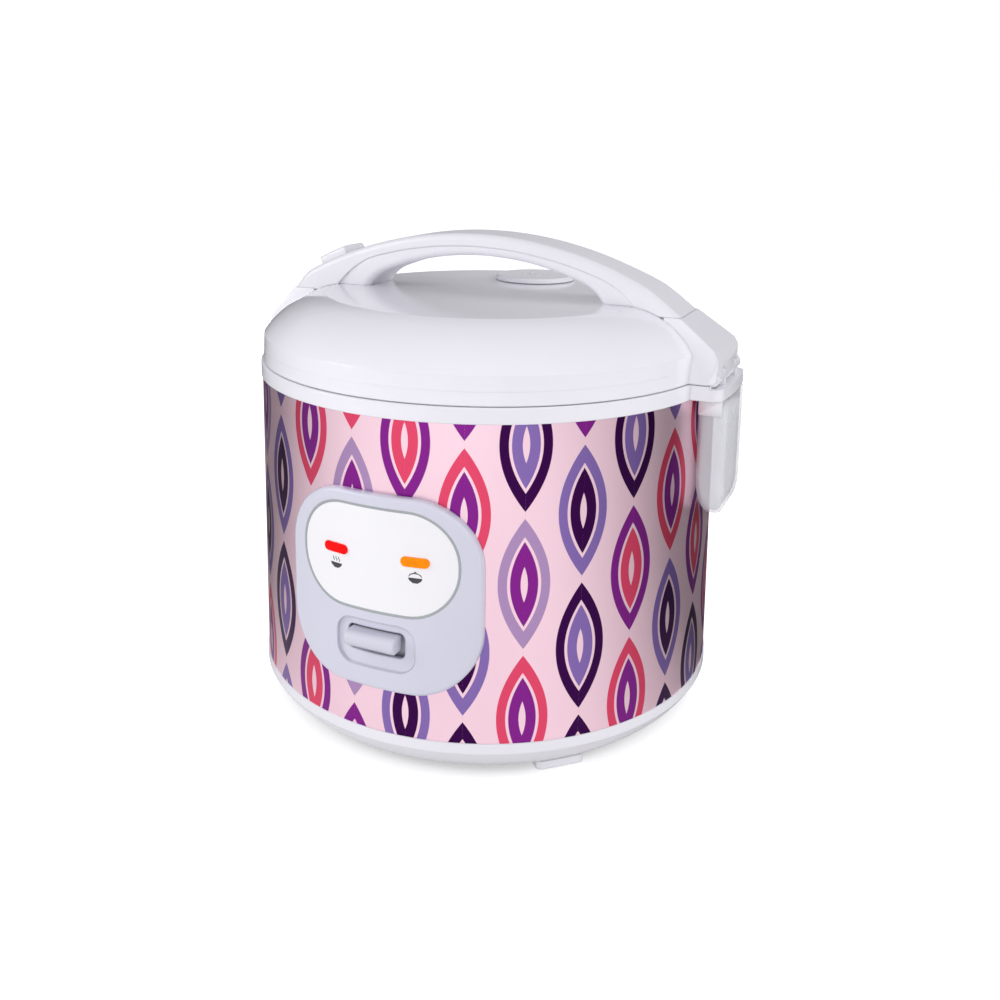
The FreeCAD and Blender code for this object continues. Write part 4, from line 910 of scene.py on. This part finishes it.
def cup_section(bm, up, wall):
    """One ring of points round the cup at a height above its foot, moved in by a wall."""
    above = max(0.0, up - wall)
    back = cup_back + wall + drawn_in(above, back_rise, back_depth)
    front = cup_front - wall - drawn_in(above, front_rise, front_depth) - front_draft * (cup_height - up)
    half = cup_half - wall - drawn_in(above, side_rise, side_depth)
    corner = min(cup_corner, (front - back) / 2 - 0.1)
    outline = rounded_outline(half, back, front, corner, 6)
    return [bm.verts.new((x * MM, y * MM, (cup_foot + up) * MM)) for y, x in outline]


bm = bmesh.new()
foot_heights = [back_rise * (i / foot_steps) ** 2 for i in range(foot_steps + 1)]
heights = foot_heights + plain_heights
outside = [cup_section(bm, up, 0.0) for up in heights + [cup_height]]
inside = [cup_section(bm, up + cup_wall, cup_wall) for up in heights + [cup_height - cup_wall]]
joined_rings(bm, list(reversed(outside)))
joined_rings(bm, inside)
joined_rings(bm, [outside[-1], inside[-1]])
bm.faces.new(outside[0])
bm.faces.new(inside[0])
cup = new_piece("collector_cup", bm, "collector", collector_clear)
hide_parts("dew_collector")
print("collector cup", [round(v / MM, 1) for v in cup.dimensions], "mm")

# %% [markdown]
# ## The collector's cheeks
# The collector slips up between two short white cheeks below the ring, which stay on the body when it is
# pulled. Each is a thin rounded plate, drawn once and set on either side with a small gap.

# %% Collector cheeks
cheek_back, cheek_front = cup_back + 1.0, cup_front - 2.4
cheek_low, cheek_high = cup_rim - 9.0, cup_rim
cheek_gap, cheek_thick, cheek_corner = 0.15, 0.8, 0.6
cheek_middle = (cheek_back + cheek_front) / 2
cheek_outline = rounded_outline((cheek_front - cheek_back) / 2, cheek_low, cheek_high, cheek_corner, 4)

bm = bmesh.new()
for side in (-1, 1):
    layers = []
    for out in (cheek_gap, cheek_gap + cheek_thick):
        y = side * (cup_half + out)
        layers.append([bm.verts.new(((cheek_middle + x) * MM, y * MM, z * MM)) for x, z in cheek_outline])
    lofted(bm, layers)
cheeks = new_piece("collector_cheeks", bm, "body", white_plastic)
print("cheeks", [round(v / MM, 1) for v in cheeks.dimensions], "mm")

# %% [markdown]
# ## The shield behind the lever's slot
# Through the slot one would look into the body, so such levers carry a small shield on their neck
# that moves with them and closes the slot at every position. A plane would close it too, but its edge
# would show from the side: this is a thin moulded plate with a raised rim. Its grey is darker than
# the panel's, as painted shade of the slot.

# %% Lever shield
shield_half, shield_low, shield_high = 18.0, 58.5, 84.0
shield_face, shield_back = -126.0, -125.1
rim_width, rim_height = 1.2, 0.4
outer_corner, inner_corner = 3.0, 2.2
outer_edge = rounded_outline(shield_half, shield_low, shield_high, outer_corner, 5)
inner_edge = rounded_outline(shield_half - rim_width, shield_low + rim_width, shield_high - rim_width,
                             inner_corner, 5)

# Darker than the panel's grey: painted shade, standing for the shade inside the slot.
shield_painted_shade_grey = moulded_plastic("shield_painted_shade_grey", (0.50, 0.505, 0.575), rough=0.35, edge=0.3 * MM)
bm = bmesh.new()
layers = [(outer_edge, shield_back), (outer_edge, shield_face),
          (inner_edge, shield_face), (inner_edge, shield_face + rim_height)]
lofted(bm, [[bm.verts.new((x * MM, y * MM, z * MM)) for x, z in edge] for edge, y in layers])
slot_shield = new_piece("slot_shield", bm, "lever", shield_painted_shade_grey)
for face in slot_shield.data.polygons:
    face.use_smooth = False
print("slot shield", [round(v / MM) for v in slot_shield.dimensions], "mm")

# %% [markdown]
# ## The thermostat's spring
# A coil spring under the thermostat's cap presses it against the pot. When the cap goes down, the
# spring's foot stays on the guide and its head follows the cap, which a rigid solid can't do. So the
# wire is wound again as a tube along a helix.

# %% Thermostat spring
spring_low, spring_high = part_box("thermostat_spring")
spring_wire = 1.4 * MM
spring_turns = 3


def helix_tube(bm, radius, wire, turns, low, high, steps=40, sides=10):
    """A round wire wound along +Z between two heights."""
    rise = high - low - wire
    rings = []
    for step in range(turns * steps + 1):
        share = step / (turns * steps)
        angle = 2 * pi * turns * share
        outward = Vector((cos(angle), sin(angle), 0))
        heading = Vector((-sin(angle), cos(angle), rise / (2 * pi * turns * radius))).normalized()
        upward = outward.cross(heading)
        centre = outward * radius + Vector((0, 0, low + wire / 2 + rise * share))
        ring = []
        for side in range(sides):
            turn = 2 * pi * side / sides
            ring.append(bm.verts.new(centre + (outward * cos(turn) + upward * sin(turn)) * wire / 2))
        rings.append(ring)
    lofted(bm, rings)


bm = bmesh.new()
helix_tube(bm, spring_high.x - spring_wire / 2, spring_wire, spring_turns, spring_low.z, spring_high.z)
wound_spring = loose_piece("wound_spring", bm, steel)
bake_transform(wound_spring)
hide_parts("thermostat_spring")
print("spring", [round(v / MM, 1) for v in wound_spring.dimensions], "mm")

# %% [markdown]
# ## Screw heads
# The screws that hold the base and the lid's liner are ordinary cross-head screws. The solids give
# their plain heads. A cut cross would mean editing those solids, so the dark cross of each drive is laid
# on as a thin four-armed star; its near-black is painted shade, standing for the shade in the recess.
# A set of screws is one mesh, so its points are first sorted into the separate screws: points that
# share a place or an edge belong together.

# %% Cross drives
# The crosses' near-black is painted shade of each drive's recess.
drive_painted_shade = turned_metal("drive_painted_shade", (0.12, 0.12, 0.125), rough=0.4)
drive_reach, drive_half = 2.0 * MM, 0.42 * MM
drive_lift = 0.02 * MM


def cross(bm, cx, cy, z):
    """A four-armed star in the plane z."""
    corners = []
    for arm in range(4):
        a = arm * pi / 2
        for dx, dy in ((drive_reach, -drive_half), (drive_reach, drive_half), (drive_half, drive_half)):
            corners.append((cx + dx * cos(a) - dy * sin(a), cy + dx * sin(a) + dy * cos(a)))
    bm.faces.new([bm.verts.new((x, y, z)) for x, y in corners])


def middle(values):
    return (min(values) + max(values)) / 2


def head_places(node):
    """The middle of each separate piece of a screw set, and its lowest point."""
    mesh = nodes[node].data
    group = list(range(len(mesh.vertices)))

    def root(i):
        while group[i] != i:
            group[i] = group[group[i]]
            i = group[i]
        return i

    at = {}
    for vertex in mesh.vertices:
        key = tuple(round(c, 6) for c in vertex.co)
        group[root(vertex.index)] = root(at.setdefault(key, vertex.index))
    for edge in mesh.edges:
        group[root(edge.vertices[0])] = root(edge.vertices[1])
    screws = {}
    for vertex in mesh.vertices:
        screws.setdefault(root(vertex.index), []).append(vertex.co)
    places = []
    for points in screws.values():
        lowest = min(p.z for p in points)
        places.append((middle([p.x for p in points]), middle([p.y for p in points]), lowest))
    return places


for node, body in (("base_screws", "body"), ("lid_screws", "lid")):
    bm = bmesh.new()
    places = head_places(node)
    for x, y, z in places:
        cross(bm, x, y, z - drive_lift)
    new_piece(node + "_drive", bm, body, drive_painted_shade)
    print(node, "drives:", len(places))
